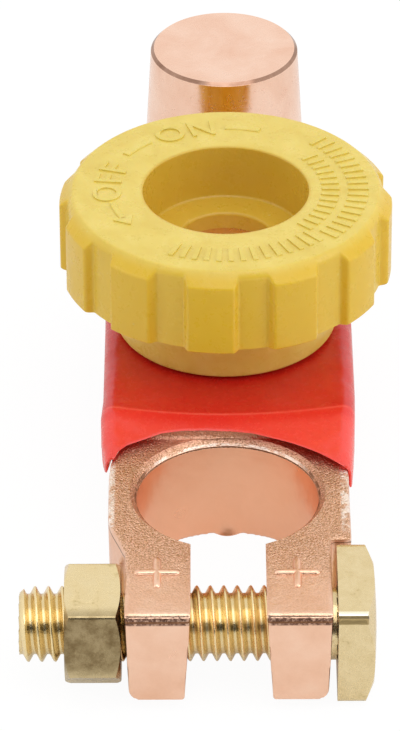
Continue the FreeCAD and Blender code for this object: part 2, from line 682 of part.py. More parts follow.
def make_knob():
    """Screw knob: lobed flange with a bevelled top and a deep round recess, over a plain collar."""
    body = new_body("knob", along_y="sizes.knob_distance")
    lip, bevel = "sizes.knob_lip", "sizes.knob_bevel"
    collar = "sizes.collar_radius"
    groove_bottom = f"({COLLAR_BOTTOM} + 0.2)"
    groove_top = f"({groove_bottom} + sizes.ring_thickness + 0.05)"
    groove = "(sizes.collar_bore_radius + sizes.ring_groove)"
    turn(body, "section", [
        ("0", FLANGE_TOP),
        ("sizes.flange_radius", FLANGE_TOP),
        ("sizes.flange_radius", FLANGE_BOTTOM),
        ("sizes.collar_bore_radius", FLANGE_BOTTOM),
        ("sizes.collar_bore_radius", groove_top),
        (groove, groove_top),
        (groove, groove_bottom),
        ("sizes.collar_bore_radius", groove_bottom),
        ("sizes.collar_bore_radius", COLLAR_BOTTOM),
        (f"{collar} - sizes.collar_edge", COLLAR_BOTTOM),
        (collar, f"{COLLAR_BOTTOM} + sizes.collar_edge"),
        (f"{collar} + sizes.collar_taper", "sizes.knob_underside"),
        (f"sizes.knob_radius - {lip}", "sizes.knob_underside"),
        ("sizes.knob_radius", f"sizes.knob_underside + {lip}"),
        ("sizes.knob_radius", f"sizes.knob_top - {bevel}"),
        (f"sizes.knob_radius - {bevel}", "sizes.knob_top"),
        ("sizes.recess_radius + sizes.recess_edge", "sizes.knob_top"),
        ("sizes.recess_radius", "sizes.knob_top - sizes.recess_edge"),
        ("sizes.recess_radius - sizes.recess_draft", RECESS_FLOOR),
        ("sizes.well_radius", RECESS_FLOOR),
        ("sizes.well_radius", SCREW_TOP),
        ("0", SCREW_TOP),
    ])
    turn_out(body, "screw_seat", [
        ("0", f"{FLANGE_TOP} - 0.5"),
        ("sizes.screw_head_radius", f"{FLANGE_TOP} - 0.5"),
        ("sizes.screw_head_radius", f"{FLANGE_TOP} + 0.8"),
        ("sizes.screw_head_radius - sizes.head_groove", f"{FLANGE_TOP} + 0.8"),
        ("sizes.screw_head_radius - sizes.head_groove", f"{FLANGE_TOP} + 1.8"),
        ("sizes.screw_head_radius", f"{FLANGE_TOP} + 1.8"),
        ("sizes.screw_head_radius", SCREW_TOP),
        ("0", SCREW_TOP),
    ])
    inner = "(sizes.knob_radius - sizes.notch_depth)"
    outer = "(sizes.knob_radius + 2)"
    half_notch = "(sizes.notch_angle / 2 * 1deg)"
    centre = "(sizes.first_notch * 1deg - 90deg)"
    before = body.Shape.Volume
    sketch = draw_outline(new_sketch(body, "notch", "XY_Plane", "sizes.knob_underside"), [
        (f"{inner} * cos({centre} - {half_notch} * 0.86)", f"{inner} * sin({centre} - {half_notch} * 0.86)"),
        (f"{outer} * cos({centre} - {half_notch} * 1.2)", f"{outer} * sin({centre} - {half_notch} * 1.2)"),
        (f"{outer} * cos({centre} + {half_notch} * 1.2)", f"{outer} * sin({centre} + {half_notch} * 1.2)"),
        (f"{inner} * cos({centre} + {half_notch} * 0.86)", f"{inner} * sin({centre} + {half_notch} * 0.86)",
         f"-{inner}"),
    ])
    notch = cut(body, sketch, "sizes.knob_top - sizes.knob_underside + 1", upwards=True)
    pattern = repeat_round(body, notch, "sizes.lobe_count")
    require_less(pattern, before, body.Shape.Volume)
    return body


def make_contact_screw():
    """Copper contact screw with the flange and grooved head that the knob is moulded round."""
    body = new_body("contact_screw", along_y="sizes.knob_distance")
    radius, chamfer = "sizes.screw_radius", "sizes.screw_tip_chamfer"
    head, groove = "sizes.screw_head_radius", "sizes.head_groove"
    tip = f"({BOSS_BOTTOM} + sizes.screw_tip_gap)"
    turn(body, "section", [
        ("0", tip),
        (f"{radius} - {chamfer}", tip),
        (radius, f"{tip} + {chamfer}"),
        (radius, FLANGE_BOTTOM),
        ("sizes.flange_radius", FLANGE_BOTTOM),
        ("sizes.flange_radius", FLANGE_TOP),
        (head, FLANGE_TOP),
        (head, f"{FLANGE_TOP} + 0.8"),
        (f"{head} - {groove}", f"{FLANGE_TOP} + 0.8"),
        (f"{head} - {groove}", f"{FLANGE_TOP} + 1.8"),
        (head, f"{FLANGE_TOP} + 1.8"),
        (head, SCREW_TOP),
        ("0", SCREW_TOP),
    ])
    return body


def make_spring_washer():
    """Conical spring washer between the screw's flange and the contact washer."""
    body = new_body("spring_washer", along_y="sizes.knob_distance")
    inner = "(sizes.bush_radius + 0.35)"
    outer = "(sizes.washer_rim_radius - 0.3)"
    thick = "sizes.spring_thickness"
    turn(body, "section", [
        (outer, RIM_TOP),
        (outer, f"{RIM_TOP} + {thick}"),
        (inner, FLANGE_BOTTOM),
        (inner, f"{FLANGE_BOTTOM} - {thick}"),
    ])
    return body


def make_contact_washer():
    """Contact washer: a boss that closes onto the clamp's tongue, a rim, and a hole with two flats."""
    body = new_body("contact_washer", along_y="sizes.knob_distance")
    turn(body, "section", [
        ("0", NECK_TOP),
        ("sizes.washer_boss_radius", NECK_TOP),
        ("sizes.washer_boss_radius", RIM_BOTTOM),
        ("sizes.washer_rim_radius", RIM_BOTTOM),
        ("sizes.washer_rim_radius", RIM_TOP),
        ("0", RIM_TOP),
    ])
    clear = "(2 * sizes.seat_clearance)"
    hole = f"(sizes.bush_radius + {clear})"
    flat = f"(sizes.bush_flats + {clear})"
    reach = f"sqrt({hole} ^ 2 - {flat} ^ 2)"
    sketch = draw_outline(new_sketch(body, "keyed_hole", "XY_Plane", NECK_TOP), [
        (f"-{flat}", f"-{reach}", hole),
        (flat, f"-{reach}"),
        (flat, reach, hole),
        (f"-{flat}", reach),
    ])
    cut(body, sketch, "sizes.washer_boss + sizes.washer_rim + 1", upwards=True)
    return body


def make_retaining_ring():
    """Open ring in the collar's groove, which lifts the contact washer by its rim."""
    body = new_body("contact_retaining_ring", along_y="sizes.knob_distance")
    bottom = f"({COLLAR_BOTTOM} + 0.22)"
    outer = "(sizes.collar_bore_radius + sizes.ring_groove - 0.05)"
    turn(body, "section", [
        ("sizes.ring_inner_radius", bottom),
        (outer, bottom),
        (outer, f"{bottom} + sizes.ring_thickness"),
        ("sizes.ring_inner_radius", f"{bottom} + sizes.ring_thickness"),
    ], angle="360 - sizes.ring_gap_angle")
    return body


def new_bolt_body(label, turned_by):
    """Body whose X axis is the bolt's axis, turned about it by an angle in the sheet."""
    body = new_body(label, along_y="-sizes.bolt_distance", along_z=BOLT_HEIGHT)
    body.setExpression("Placement.Rotation.Axis.x", "1")
    body.setExpression("Placement.Rotation.Axis.y", "0")
    body.setExpression("Placement.Rotation.Axis.z", "0")
    body.setExpression("Placement.Rotation.Angle", turned_by)
    return body


def make_clamp_bolt():
    """Square-headed clamp bolt."""
    body = new_bolt_body("clamp_bolt", "sizes.head_turn")
    half = "(sizes.head_flats / 2)"
    sketch = new_sketch(body, "head", "YZ_Plane", HEAD_INNER)
    draw_box(sketch, f"-{half}", half, f"-{half}", half)
    pad(body, sketch, "sizes.head_thickness")
    dress(body, "Fillet", "head_corners", "sizes.head_corner", lambda edge: is_line_along(edge, ALONG_X))
    crown = f"({half} * 0.98)"
    corner = f"({half} * sqrt(2) + 1)"
    end = f"({HEAD_INNER} + sizes.head_thickness)"
    slope = "tan(sizes.head_crown_angle * 1deg)"
    turn_out(body, "crown", [
        (end, crown),
        (f"{end} - ({corner} - {crown}) * {slope}", corner),
        (f"{end} + 1", corner),
        (f"{end} + 1", crown),
    ], axis="H_Axis")
    start = "(-sizes.bolt_tip)"
    sketch = draw_outline(new_sketch(body, "shank", "XZ_Plane"), [
        (start, "0"),
        (HEAD_INNER, "0"),
        (HEAD_INNER, "sizes.bolt_radius"),
        (f"{start} + sizes.bolt_tip_chamfer", "sizes.bolt_radius"),
        (start, "sizes.bolt_radius - sizes.bolt_tip_chamfer"),
    ])
    spin(body, "Revolution", sketch, "H_Axis")
    return body


def make_clamp_nut():
    """Hexagon nut with both faces chamfered."""
    body = new_bolt_body("clamp_nut", "sizes.nut_turn")
    corner = "(sizes.nut_flats / sqrt(3))"
    angles = [45 + 60 * step for step in range(6)]
    sketch = draw_outline(new_sketch(body, "hexagon", "YZ_Plane", f"-{NUT_INNER} - sizes.nut_thickness"), [
        (f"-{corner} * cos({angle}deg)", f"{corner} * sin({angle}deg)") for angle in angles])
    pad(body, sketch, "sizes.nut_thickness")
    inner, outer = f"(-{NUT_INNER})", f"(-{NUT_INNER} - sizes.nut_thickness)"
    flat, rim = "(sizes.nut_flats / 2)", f"({corner} + 1)"
    fall = f"(({rim} - {flat}) * tan(sizes.nut_chamfer_angle * 1deg))"
    turn_out(body, "inner_chamfer", [
        (inner, flat),
        (f"{inner} - {fall}", rim),
        (f"{inner} + 1", rim),
        (f"{inner} + 1", flat),
    ], axis="H_Axis")
    turn_out(body, "outer_chamfer", [
        (outer, flat),
        (f"{outer} + {fall}", rim),
        (f"{outer} - 1", rim),
        (f"{outer} - 1", flat),
    ], axis="H_Axis")
    sketch = new_sketch(body, "thread", "YZ_Plane", f"-{NUT_INNER} - sizes.nut_thickness")
    draw_circle(sketch, "0", "0", "sizes.bolt_radius + sizes.thread_clearance")
    cut(body, sketch, "sizes.nut_thickness", upwards=True)
    return body


pieces = [
    make_clamp_terminal(),
    make_post_terminal(),
    make_insulating_plate(),
    make_insulating_bush(),
    make_rivets(),
    make_rivet_bushes(),
    make_sleeve(),
    make_knob(),
    make_contact_screw(),
    make_spring_washer(),
    make_contact_washer(),
    make_retaining_ring(),
    make_clamp_bolt(),
    make_clamp_nut(),
]
document.recompute()

for item in document.Objects:
    if "Invalid" in item.State or "Error" in item.State:
        raise RuntimeError(f"{item.Name} did not build: {item.State}")
for piece in pieces:
    if piece.Shape.isNull() or not piece.Shape.isValid():
        raise RuntimeError(f"{piece.Label} has no valid shape")
    print(piece.Label, len(piece.Shape.Solids), "solid", round(piece.Shape.Volume, 1), "mm3")

os.makedirs("parts", exist_ok=True)
for piece in pieces:
    piece.Shape.exportStep(f"parts/{piece.Label}.step")
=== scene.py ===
import math

import bmesh
import bpy
import numpy as np
from mathutils import Matrix, Vector


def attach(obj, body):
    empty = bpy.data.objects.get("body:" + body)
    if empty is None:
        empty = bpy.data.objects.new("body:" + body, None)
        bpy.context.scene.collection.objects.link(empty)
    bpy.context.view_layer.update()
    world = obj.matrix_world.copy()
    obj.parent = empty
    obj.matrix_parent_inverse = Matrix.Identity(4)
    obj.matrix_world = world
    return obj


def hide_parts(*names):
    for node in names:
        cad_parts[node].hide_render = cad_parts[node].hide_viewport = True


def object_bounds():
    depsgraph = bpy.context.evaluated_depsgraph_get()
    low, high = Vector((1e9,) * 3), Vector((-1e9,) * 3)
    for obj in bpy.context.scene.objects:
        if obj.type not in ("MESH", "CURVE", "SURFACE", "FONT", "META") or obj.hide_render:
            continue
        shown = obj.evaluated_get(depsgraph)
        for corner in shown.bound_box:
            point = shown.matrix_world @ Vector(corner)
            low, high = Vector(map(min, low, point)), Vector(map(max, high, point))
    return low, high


# Battery disconnect switch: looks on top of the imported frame. Sizes below are in millimetres and degrees.
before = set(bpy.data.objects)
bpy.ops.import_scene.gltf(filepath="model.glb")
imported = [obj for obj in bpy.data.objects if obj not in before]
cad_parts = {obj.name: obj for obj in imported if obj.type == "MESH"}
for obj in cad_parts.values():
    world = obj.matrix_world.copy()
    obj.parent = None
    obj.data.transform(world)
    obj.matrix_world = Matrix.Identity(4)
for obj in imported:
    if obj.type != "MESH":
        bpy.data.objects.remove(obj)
cad_box = [list(corner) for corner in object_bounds()]

MM = 0.001
AXIS_Y = 30.85          # knob's axis
BOLT_Y, BOLT_Z = -15.92, 6.95


# Shapes

def grid_quads(rows, columns, close_rows=False, close_columns=True, seam_rows=0):
    """Corners of a grid's quads. Row i, column j meets row i+1 and column j+1, and a closed direction runs
    back to its start. seam_rows moves the join of the last column to the first by so many rows, as on a
    screw."""
    row, column = np.meshgrid(np.arange(rows if close_rows else rows - 1 - seam_rows),
                              np.arange(columns if close_columns else columns - 1), indexing="ij")
    after = (column + 1) % columns
    shift = np.where(after == 0, seam_rows, 0)
    lower, upper = row, (row + 1) % rows
    return np.stack([lower * columns + column, (lower + shift) * columns + after,
                     (upper + shift) * columns + after, upper * columns + column], axis=-1).reshape(-1, 4)


def raw_mesh(name, points, faces):
    """Mesh of points in millimetres and an array of equal-sided faces."""
    mesh = bpy.data.meshes.new(name)
    points = np.asarray(points, float).reshape(-1, 3) * MM
    faces = np.asarray(faces, np.int32)
    mesh.vertices.add(len(points))
    mesh.vertices.foreach_set("co", points.astype(np.float32).ravel())
    mesh.loops.add(faces.size)
    mesh.loops.foreach_set("vertex_index", faces.ravel())
    mesh.polygons.add(len(faces))
    mesh.polygons.foreach_set("loop_start", np.arange(0, faces.size, faces.shape[1], dtype=np.int32))
    mesh.update(calc_edges=True)
    mesh.validate()
    return mesh


def shaded_smooth(mesh, sharp):
    """Smooth shading with hard edges where faces meet at more than the sharp angle, in degrees."""
    mesh.shade_smooth()
    mesh.set_sharp_from_angle(angle=math.radians(sharp))
    return mesh


def clean(mesh, merge=0.004, sharp=35):
    """Join points closer than merge, in millimetres, turn the faces outwards and shade smooth."""
    work = bmesh.new()
    work.from_mesh(mesh)
    bmesh.ops.remove_doubles(work, verts=work.verts, dist=merge * MM)
    bmesh.ops.recalc_face_normals(work, faces=work.faces)
    work.to_mesh(mesh)
    work.free()
    return shaded_smooth(mesh, sharp)


def in_scene(name, data):
    """New object of the data in the scene, at the origin."""
    item = bpy.data.objects.new(name, data)
    bpy.context.scene.collection.objects.link(item)
    return item


def finished_mesh(item):
    """The object's mesh with its modifiers applied."""
    bpy.context.view_layer.update()
    return bpy.data.meshes.new_from_object(item.evaluated_get(bpy.context.evaluated_depsgraph_get()))


def carved(item, tools, segments, centre=(0.0, 0.0)):
    """The object's mesh after its modifiers and exact booleans. A tool is a pair of a closed outline (radius,
    height), turned round an upright axis, and an operation. The object and its tools leave the scene."""
    angles = np.linspace(0, 2 * np.pi, segments, endpoint=False)
    used = [item]
    for outline, operation in tools:
        faces = grid_quads(len(outline), segments, close_rows=True)
        tool = in_scene("tool", clean(raw_mesh("tool", revolved(outline, angles, centre), faces)))
        modifier = item.modifiers.new("tool", "BOOLEAN")
        modifier.object, modifier.operation, modifier.solver = tool, operation, "EXACT"
        used.append(tool)
    mesh = finished_mesh(item)
    for other in used:
        bpy.data.objects.remove(other)
    return mesh


def new_piece(name, mesh, slot, body, *nodes):
    """Object at the origin with a slot's look, which rides on a body and stands for the nodes named."""
    piece = in_scene(name, mesh)
    mesh.materials.clear()
    mesh.materials.append(looks[slot])
    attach(piece, body)
    if nodes:
        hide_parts(*nodes)
    return piece


def rounded(corners, points=6):
    """Closed outline whose corners (across, up, radius) are swapped for arcs tangent to both sides. An arc's
    points stand at c + r (cos t, sin t), with c on the bisector at r / sin(half the corner's angle)."""
    outline = []
    count = len(corners)
    places = np.array([corner[:2] for corner in corners], float)
    for index, corner in enumerate(corners):
        here, radius = places[index], corner[2]
        back = places[index - 1] - here
        ahead = places[(index + 1) % count] - here
        reach_back, reach_ahead = np.linalg.norm(back), np.linalg.norm(ahead)
        back, ahead = back / reach_back, ahead / reach_ahead
        half = math.acos(np.clip(back @ ahead, -1, 1)) / 2
        if radius <= 0 or half > 1.56:
            outline.append(here[None])
            continue
        radius = min(radius, math.tan(half) * min(reach_back, reach_ahead) * 0.499)
        centre = here + (back + ahead) / np.linalg.norm(back + ahead) * radius / math.sin(half)
        start = here + back * radius / math.tan(half) - centre
        end = here + ahead * radius / math.tan(half) - centre
        turn = math.atan2(start[0] * end[1] - start[1] * end[0], start @ end)
        angle = math.atan2(start[1], start[0]) + turn * np.linspace(0, 1, points)
        outline.append(centre + radius * np.stack([np.cos(angle), np.sin(angle)], axis=1))
    return np.concatenate(outline)


def divided(outline, step):
    """Closed outline with its sides in equal parts of at most the step: one number, or one a side."""
    ahead = np.roll(outline, -1, axis=0)
    parts = np.maximum(np.ceil(np.linalg.norm(ahead - outline, axis=1) / step), 1).astype(int)
    start = np.repeat(np.arange(len(outline)), parts)
    share = (np.arange(parts.sum()) - np.repeat(np.cumsum(parts) - parts, parts)) / parts[start]
    return outline[start] + (ahead[start] - outline[start]) * share[:, None]


def smooth_step(value):
    """3 v^2 - 2 v^3 of v held between 0 and 1."""
    value = np.clip(value, 0, 1)
    return value * value * (3 - 2 * value)


def soft_min(first, second, reach):
    """The lesser of two lengths, with a rounding of the given reach where they meet."""
    blend = np.clip(0.5 + 0.5 * (second - first) / reach, 0, 1)
    return second + (first - second) * blend - reach * blend * (1 - blend)


def revolved(outline, angles, centre=(0.0, 0.0), limit=None, reach=0.1):
    """Closed outline (radius, height) carried round an upright axis: x = r cos a, y = r sin a. Where a limit
    is given, r is the lesser of the outline's radius and limit(a)."""
    radius = np.repeat(outline[:, :1], len(angles), axis=1)
    if limit is not None:
        radius = soft_min(radius, np.broadcast_to(limit(angles)[None], radius.shape), reach)
    height = np.repeat(outline[:, 1:], len(angles), axis=1)
    across = centre[0] + radius * np.cos(angles)
    along = centre[1] + radius * np.sin(angles)
    return np.stack([across, along, height], axis=-1)


def about_bolt(along, radius, angles):
    """Points round the bolt's axis: x = along, y = r cos a, z = r sin a."""
    return np.stack([along, BOLT_Y + radius * np.cos(angles), BOLT_Z + radius * np.sin(angles)], axis=-1)


def joined(parts):
    """One pair of points and faces from a list of such pairs."""
    starts = np.cumsum([0] + [len(points) for points, _ in parts[:-1]])
    points = np.concatenate([points for points, _ in parts])
    faces = np.concatenate([faces + start for (_, faces), start in zip(parts, starts)])
    return points, faces


def points_of(mesh):
    """A mesh's points in metres, as an array."""
    points = np.zeros(len(mesh.vertices) * 3, np.float32)
    mesh.vertices.foreach_get("co", points)
    return points.reshape(-1, 3).astype(float)


# Looks

class Nodes:
    """Short calls for the nodes of a material or of the world."""

    def __init__(self, tree):
        self.tree = tree

    def node(self, kind, inputs=(), **settings):
        """New node; inputs is a dict of socket name or number to a value or to another node's output."""
        node = self.tree.nodes.new("ShaderNode" + kind)
        for name, value in settings.items():
            setattr(node, name, value)
        for socket, value in dict(inputs).items():
            target = node.inputs[socket]
            if isinstance(value, bpy.types.NodeSocket):
                self.tree.links.new(value, target)
            else:
                target.default_value = value
        return node

    def maths(self, operation, *values, clamp=False):
        return self.node("Math", dict(enumerate(values)), operation=operation, use_clamp=clamp).outputs[0]

    def product(self, first, *others):
        """Product of two or more values."""
        for other in others:
            first = self.maths("MULTIPLY", first, other)
        return first

    def length(self, first, second):
        """Root of the sum of two values' squares."""
        squares = self.maths("ADD", self.product(first, first), self.product(second, second))
        return self.maths("SQRT", squares)

    def between(self, value, low, high, to_low=0.0, to_high=1.0, ease="SMOOTHSTEP"):
        """Value mapped from low..high onto to_low..to_high and held at both ends."""
        places = {"Value": value, "From Min": low, "From Max": high, "To Min": to_low, "To Max": to_high}
        return self.node("MapRange", places, interpolation_type=ease).outputs[0]

    def falling(self, value, low, high):
        """1 below low and 0 above high."""
        return self.between(value, low, high, 1.0, 0.0)

    def band(self, value, rise, fall):
        """1 inside a band and 0 outside. rise and fall are where its two soft edges start and end."""
        return self.product(self.between(value, *rise), self.falling(value, *fall))


class Look(Nodes):
    """Node material. Patterns read Object coordinates."""

    def __init__(self, name, **shader):
        self.material = bpy.data.materials.new(name)
        self.material.use_nodes = True
        super().__init__(self.material.node_tree)
        self.shader = self.tree.nodes["Principled BSDF"]
        for socket, value in shader.items():
            self.shader.inputs[socket.replace("_", " ")].default_value = value
        self.place = self.tree.nodes.new("ShaderNodeTexCoord").outputs["Object"]

    def stretched(self, scale):
        """Place for a pattern that is drawn out along the axes with a small scale."""
        return self.node("Mapping", {"Vector": self.place, "Scale": scale}).outputs[0]

    def noise(self, size, detail=3.0, rough=0.55, bend=0.0, place=None):
        """Noise whose lumps are about the given size in millimetres."""
        inputs = {"Vector": place or self.place, "Scale": 1 / (size * MM), "Detail": detail,
                  "Roughness": rough, "Distortion": bend}
        return self.node("TexNoise", inputs).outputs["Fac"]

    def cells(self, size):
        """Distance to the nearest of scattered points, which stand about the given millimetres apart."""
        return self.node("TexVoronoi", {"Vector": self.place, "Scale": 1 / (size * MM)}).outputs["Distance"]

    def colours(self, value, stops):
        """Colour ramp of (place, colour) pairs."""
        node = self.node("ValToRGB", {0: value})
        ramp = node.color_ramp
        while len(ramp.elements) < len(stops):
            ramp.elements.new(1.0)
        for element, (spot, colour) in zip(ramp.elements, stops):
            element.position = spot
            element.color = (*colour, 1)
        return node.outputs[0]

    def mixed(self, share, first, second):
        """First colour with a share of the second."""
        node = self.node("Mix", {0: share}, data_type="RGBA")
        for socket, value in ((node.inputs[6], first), (node.inputs[7], second)):
            if isinstance(value, bpy.types.NodeSocket):
                self.tree.links.new(value, socket)
            else:
                socket.default_value = (*value, 1)
        return node.outputs[2]

    def bump(self, height, depth, under=None):
        """Bump of a height from 0 to 1 over a depth in millimetres, on top of another bump."""
        node = self.node("Bump", {"Height": height, "Distance": depth * MM})
        if under is not None:
            self.tree.links.new(under, node.inputs["Normal"])
        return node.outputs[0]

    def axes(self):
        """Place across, along and up, in millimetres."""
        place = self.node("VectorMath", {0: self.place, 1: (1 / MM,) * 3}, operation="MULTIPLY")
        return self.node("SeparateXYZ", {0: place.outputs[0]}).outputs

    def from_axis(self, along_y):
        """Distance in millimetres from an upright axis at X 0 and the given Y."""
        across, along, _ = self.axes()
        return self.length(across, self.maths("SUBTRACT", along, along_y))

    def facing_up(self):
        """Upward part of the surface's direction: 1 on a level top and 0 on an upright wall."""
        return self.node("SeparateXYZ", {0: self.node("NewGeometry").outputs["Normal"]}).outputs[2]

    def wire(self, **sockets):
        """Join outputs to the shader's sockets, and give the material."""
        for name, output in sockets.items():
            self.tree.links.new(output, self.shader.inputs[name.replace("_", " ")])
        return self.material


def cast_copper():
    """Copper-plated casting: grainy as cast on the ring's top, softer towards the ears' fronts, warm and
    smooth in the machined bore, satin on the upright faces, and ragged along the ears' front edge, where a
    band of painted shade runs. The bore's rim is a painted dark line that turns into a broken painted
    highlight at the back. Painted shade darkens the top faces behind the bore and the rim's fine groove,
    and the ring's outer edges carry a broken painted highlight."""
    look = Look("copper_cast", Metallic=1.0)
    across, along, up = look.axes()
    facing = look.facing_up()
    off_axis = look.from_axis(0)
    wall = look.falling(look.maths("ABSOLUTE", facing), 0.05, 0.7)
    bore = look.product(look.falling(off_axis, 10.48, 10.56), wall, look.falling(up, 12.6, 12.7))
    level = look.between(look.between(facing, 0.35, 0.8), 0, 1, 0.14, 1.0)
    neck = look.between(up, 12.68, 12.74)
    plus_marks = look.maths("MAXIMUM", look.between(up, 12.7, 12.8, 1.0, 0.35),
                            look.between(along, 0.0, 1.0))
    ear_fronts = look.between(look.between(along, -21.5, -8.0), 0, 1, 0.25, 1.0)
    skin = look.product(look.maths("SUBTRACT", 1.0, bore), look.maths("MAXIMUM", level, neck),
                        ear_fronts, plus_marks)
    ragged = look.product(look.band(up, (11.4, 11.6), (12.2, 12.4)), look.falling(along, -21.6, -21.4))

    grain = look.noise(0.17, detail=2.5, rough=0.6)
    pits = look.between(look.cells(0.34), 0.1, 0.5)
    rough_skin = look.maths("ADD", look.product(grain, 0.7), look.product(pits, 0.3))
    height = look.product(rough_skin, look.maths("ADD", skin, look.product(ragged, 0.6)))
    waves = look.noise(2.4, detail=2.0)
    lines = look.noise(0.22, detail=1.5, place=look.stretched((0.10, 0.10, 1.0)))
    normal = look.bump(height, 0.17)
    normal = look.bump(waves, 0.10, under=normal)
    normal = look.bump(look.product(lines, bore), 0.010, under=normal)

    tone = look.noise(4.5, detail=4.0, rough=0.6)
    tone_and_painted_light = look.colours(tone, [(0.3, (0.87, 0.53, 0.36)), (0.55, (0.93, 0.60, 0.43)),
                               (0.8, (0.96, 0.66, 0.49))])
    hollows = look.product(look.falling(grain, 0.42, 0.58), skin, 0.72)
    tone_and_painted_light = look.mixed(hollows, tone_and_painted_light, (0.44, 0.22, 0.09))
    tone_and_painted_light = look.mixed(look.product(bore, 0.65), tone_and_painted_light, (0.95, 0.50, 0.29))
    # Painted shade: a ragged dark band along the top of the ears' front face.
    torn = look.between(look.noise(0.45, detail=4.0, rough=0.7), 0.44, 0.62, 1.0, 0.25)
    tone_and_painted_light = look.mixed(look.product(ragged, torn), tone_and_painted_light, (0.20, 0.10, 0.07))
    # Painted shade and painted highlight on the bore's rim: a dark line in front, a broken light line at the
    # back.
    rim = look.product(look.between(up, 11.94, 11.99), look.falling(off_axis, 9.92, 9.96))
    broken = look.between(look.noise(1.1), 0.40, 0.55, 0.1, 1.0)
    behind = look.between(along, 4.0, 6.5)
    rim_shade_and_highlight = look.mixed(behind, (0.36, 0.20, 0.12), (0.97, 0.80, 0.68))
    tone_and_painted_light = look.mixed(look.product(rim, broken), tone_and_painted_light, rim_shade_and_highlight)
    # Painted shade on the top faces behind the bore.
    shaded = look.product(behind, look.between(up, 11.90, 11.96), look.between(off_axis, 10.0, 10.4))
    tone_and_painted_light = look.mixed(look.product(shaded, 0.7), tone_and_painted_light, (0.74, 0.38, 0.26))
    # Painted highlight: broken light patches on the ring's outer edges.
    edges = look.product(look.between(look.maths("ABSOLUTE", across), 11.9, 12.2),
                         look.between(along, -8.0, -6.0), look.between(up, 11.9, 12.3))
    tone_and_painted_light = look.mixed(look.product(edges, broken), tone_and_painted_light, (1.0, 0.86, 0.76))
    # Painted shade in the fine groove at the bore's rim.
    groove = look.product(look.between(off_axis, 9.74, 9.80),
                          look.band(up, (11.70, 11.74), (11.90, 11.94)))
    tone_and_painted_light = look.mixed(groove, tone_and_painted_light, (0.30, 0.14, 0.07))
    unevenness = look.maths("ADD", look.product(waves, 0.3), look.product(skin, 0.2))
    roughness = look.between(unevenness, 0.05, 0.4, 0.27, 0.42)
    return look.wire(Base_Color=tone_and_painted_light, Roughness=roughness, Normal=normal)


def polished_copper():
    """Turned and polished copper plating with fine rings, faint darker patches, and a painted dark reflection
    as a line on the bevel round the post's top."""
    look = Look("copper_polished", Metallic=1.0)
    rings = look.noise(0.35, detail=2.0, place=look.stretched((0.04, 0.04, 1.0)))
    tone = look.noise(5.0, detail=4.0, rough=0.6, bend=0.4)
    colour = look.colours(tone, [(0.3, (0.88, 0.55, 0.40)), (0.6, (0.94, 0.64, 0.49)),
                                 (0.85, (0.96, 0.70, 0.56))])
    # Painted dark reflection: a dark line on the bevel round the post's top.
    bevel = look.product(look.between(look.axes()[2], 30.28, 30.34),
                         look.falling(look.facing_up(), 0.97, 0.99))
    edge = look.product(bevel, look.between(tone, 0.3, 0.6, 0.95, 0.7))
    colour = look.mixed(edge, colour, (0.28, 0.15, 0.10))
    scuffs = look.between(look.noise(0.8, detail=5.0, rough=0.7), 0.52, 0.7)
    wear = look.maths("ADD", rings, look.product(scuffs, 0.5))
    normal = look.bump(rings, 0.006)
    normal = look.bump(look.noise(2.2, detail=1.0), 0.015, under=normal)
    roughness = look.between(wear, 0.3, 1.1, 0.17, 0.36)
    return look.wire(Base_Color=colour, Roughness=roughness, Normal=normal)


def tarnished_brass():
    """Yellow brass from the lathe, with olive tarnish in patches, painted shade in the thread's hollows, a
    painted dark reflection over the nut's lower side, and a painted highlight and a painted dark reflection
    in bands along the square head's upper front corner."""
    look = Look("brass", Metallic=1.0)
    across, along, up = look.axes()
    patches = look.noise(2.2, detail=5.0, rough=0.65, bend=0.6)
    specks = look.noise(0.35, detail=3.0, rough=0.7)
    tarnish = look.maths("ADD", look.product(patches, 0.7), look.product(specks, 0.3))
    colour = look.colours(tarnish, [(0.30, (0.50, 0.38, 0.18)), (0.42, (0.75, 0.60, 0.33)),
                                    (0.7, (0.84, 0.69, 0.41))])
    # Painted dark reflection: the nut's lower side is darkened to an olive brown.
    nut = look.band(across, (-17.6, -17.3), (-10.8, -10.5))
    low = look.product(look.falling(up, 11.2, 12.2), look.between(up, 4.4, 6.2, 0.35, 1.0),
                       look.falling(along, -20.5, -19.5))
    cloudy = look.between(look.noise(1.5, detail=5.0, rough=0.7), 0.3, 0.65, 1.0, 0.7)
    colour = look.mixed(look.product(nut, low, cloudy), colour, (0.20, 0.135, 0.06))

    off_y = look.maths("SUBTRACT", along, BOLT_Y)
    off_z = look.maths("SUBTRACT", up, BOLT_Z)
    from_bolt = look.length(off_y, off_z)
    # Painted highlight and painted dark reflection in two bands along the square head's upper front corner.
    corner = look.product(look.between(across, 11.2, 11.4), look.between(from_bolt, 7.7, 7.9))
    steep = look.maths("DIVIDE", off_z, look.product(off_y, -1.0))
    lit = look.product(corner, look.band(steep, (0.86, 0.88), (0.96, 1.00)))
    dark = look.product(corner, 0.92, look.band(steep, (0.675, 0.70), (0.86, 0.88)))
    colour = look.mixed(lit, colour, (1.0, 0.93, 0.70))
    shadow = look.mixed(look.between(steep, 0.79, 0.82), (0.44, 0.32, 0.14), (0.10, 0.07, 0.03))
    colour = look.mixed(dark, colour, shadow)
    shank = look.falling(look.maths("ABSOLUTE", look.maths("ADD", across, 3.3)), 7.8, 8.0)
    thread = look.maths("MAXIMUM", shank, look.falling(across, -17.2, -17.1))
    # Painted shade in the thread's roots.
    root = look.product(look.falling(from_bolt, 3.25, 3.72), thread)
    colour = look.mixed(look.product(root, 0.4), colour, (0.30, 0.17, 0.05))
    colour = look.mixed(look.product(thread, 0.5), colour, (0.97, 0.78, 0.42))

    streaks = look.noise(0.12, detail=2.0, place=look.stretched((0.2, 1.0, 1.0)))
    roughness = look.maths("ADD", look.between(tarnish, 0.3, 0.7, 0.36, 0.18), look.product(dark, 0.25))
    normal = look.bump(streaks, 0.006)
    normal = look.bump(patches, 0.05, under=normal)
    return look.wire(Base_Color=colour, Roughness=roughness, Normal=normal)


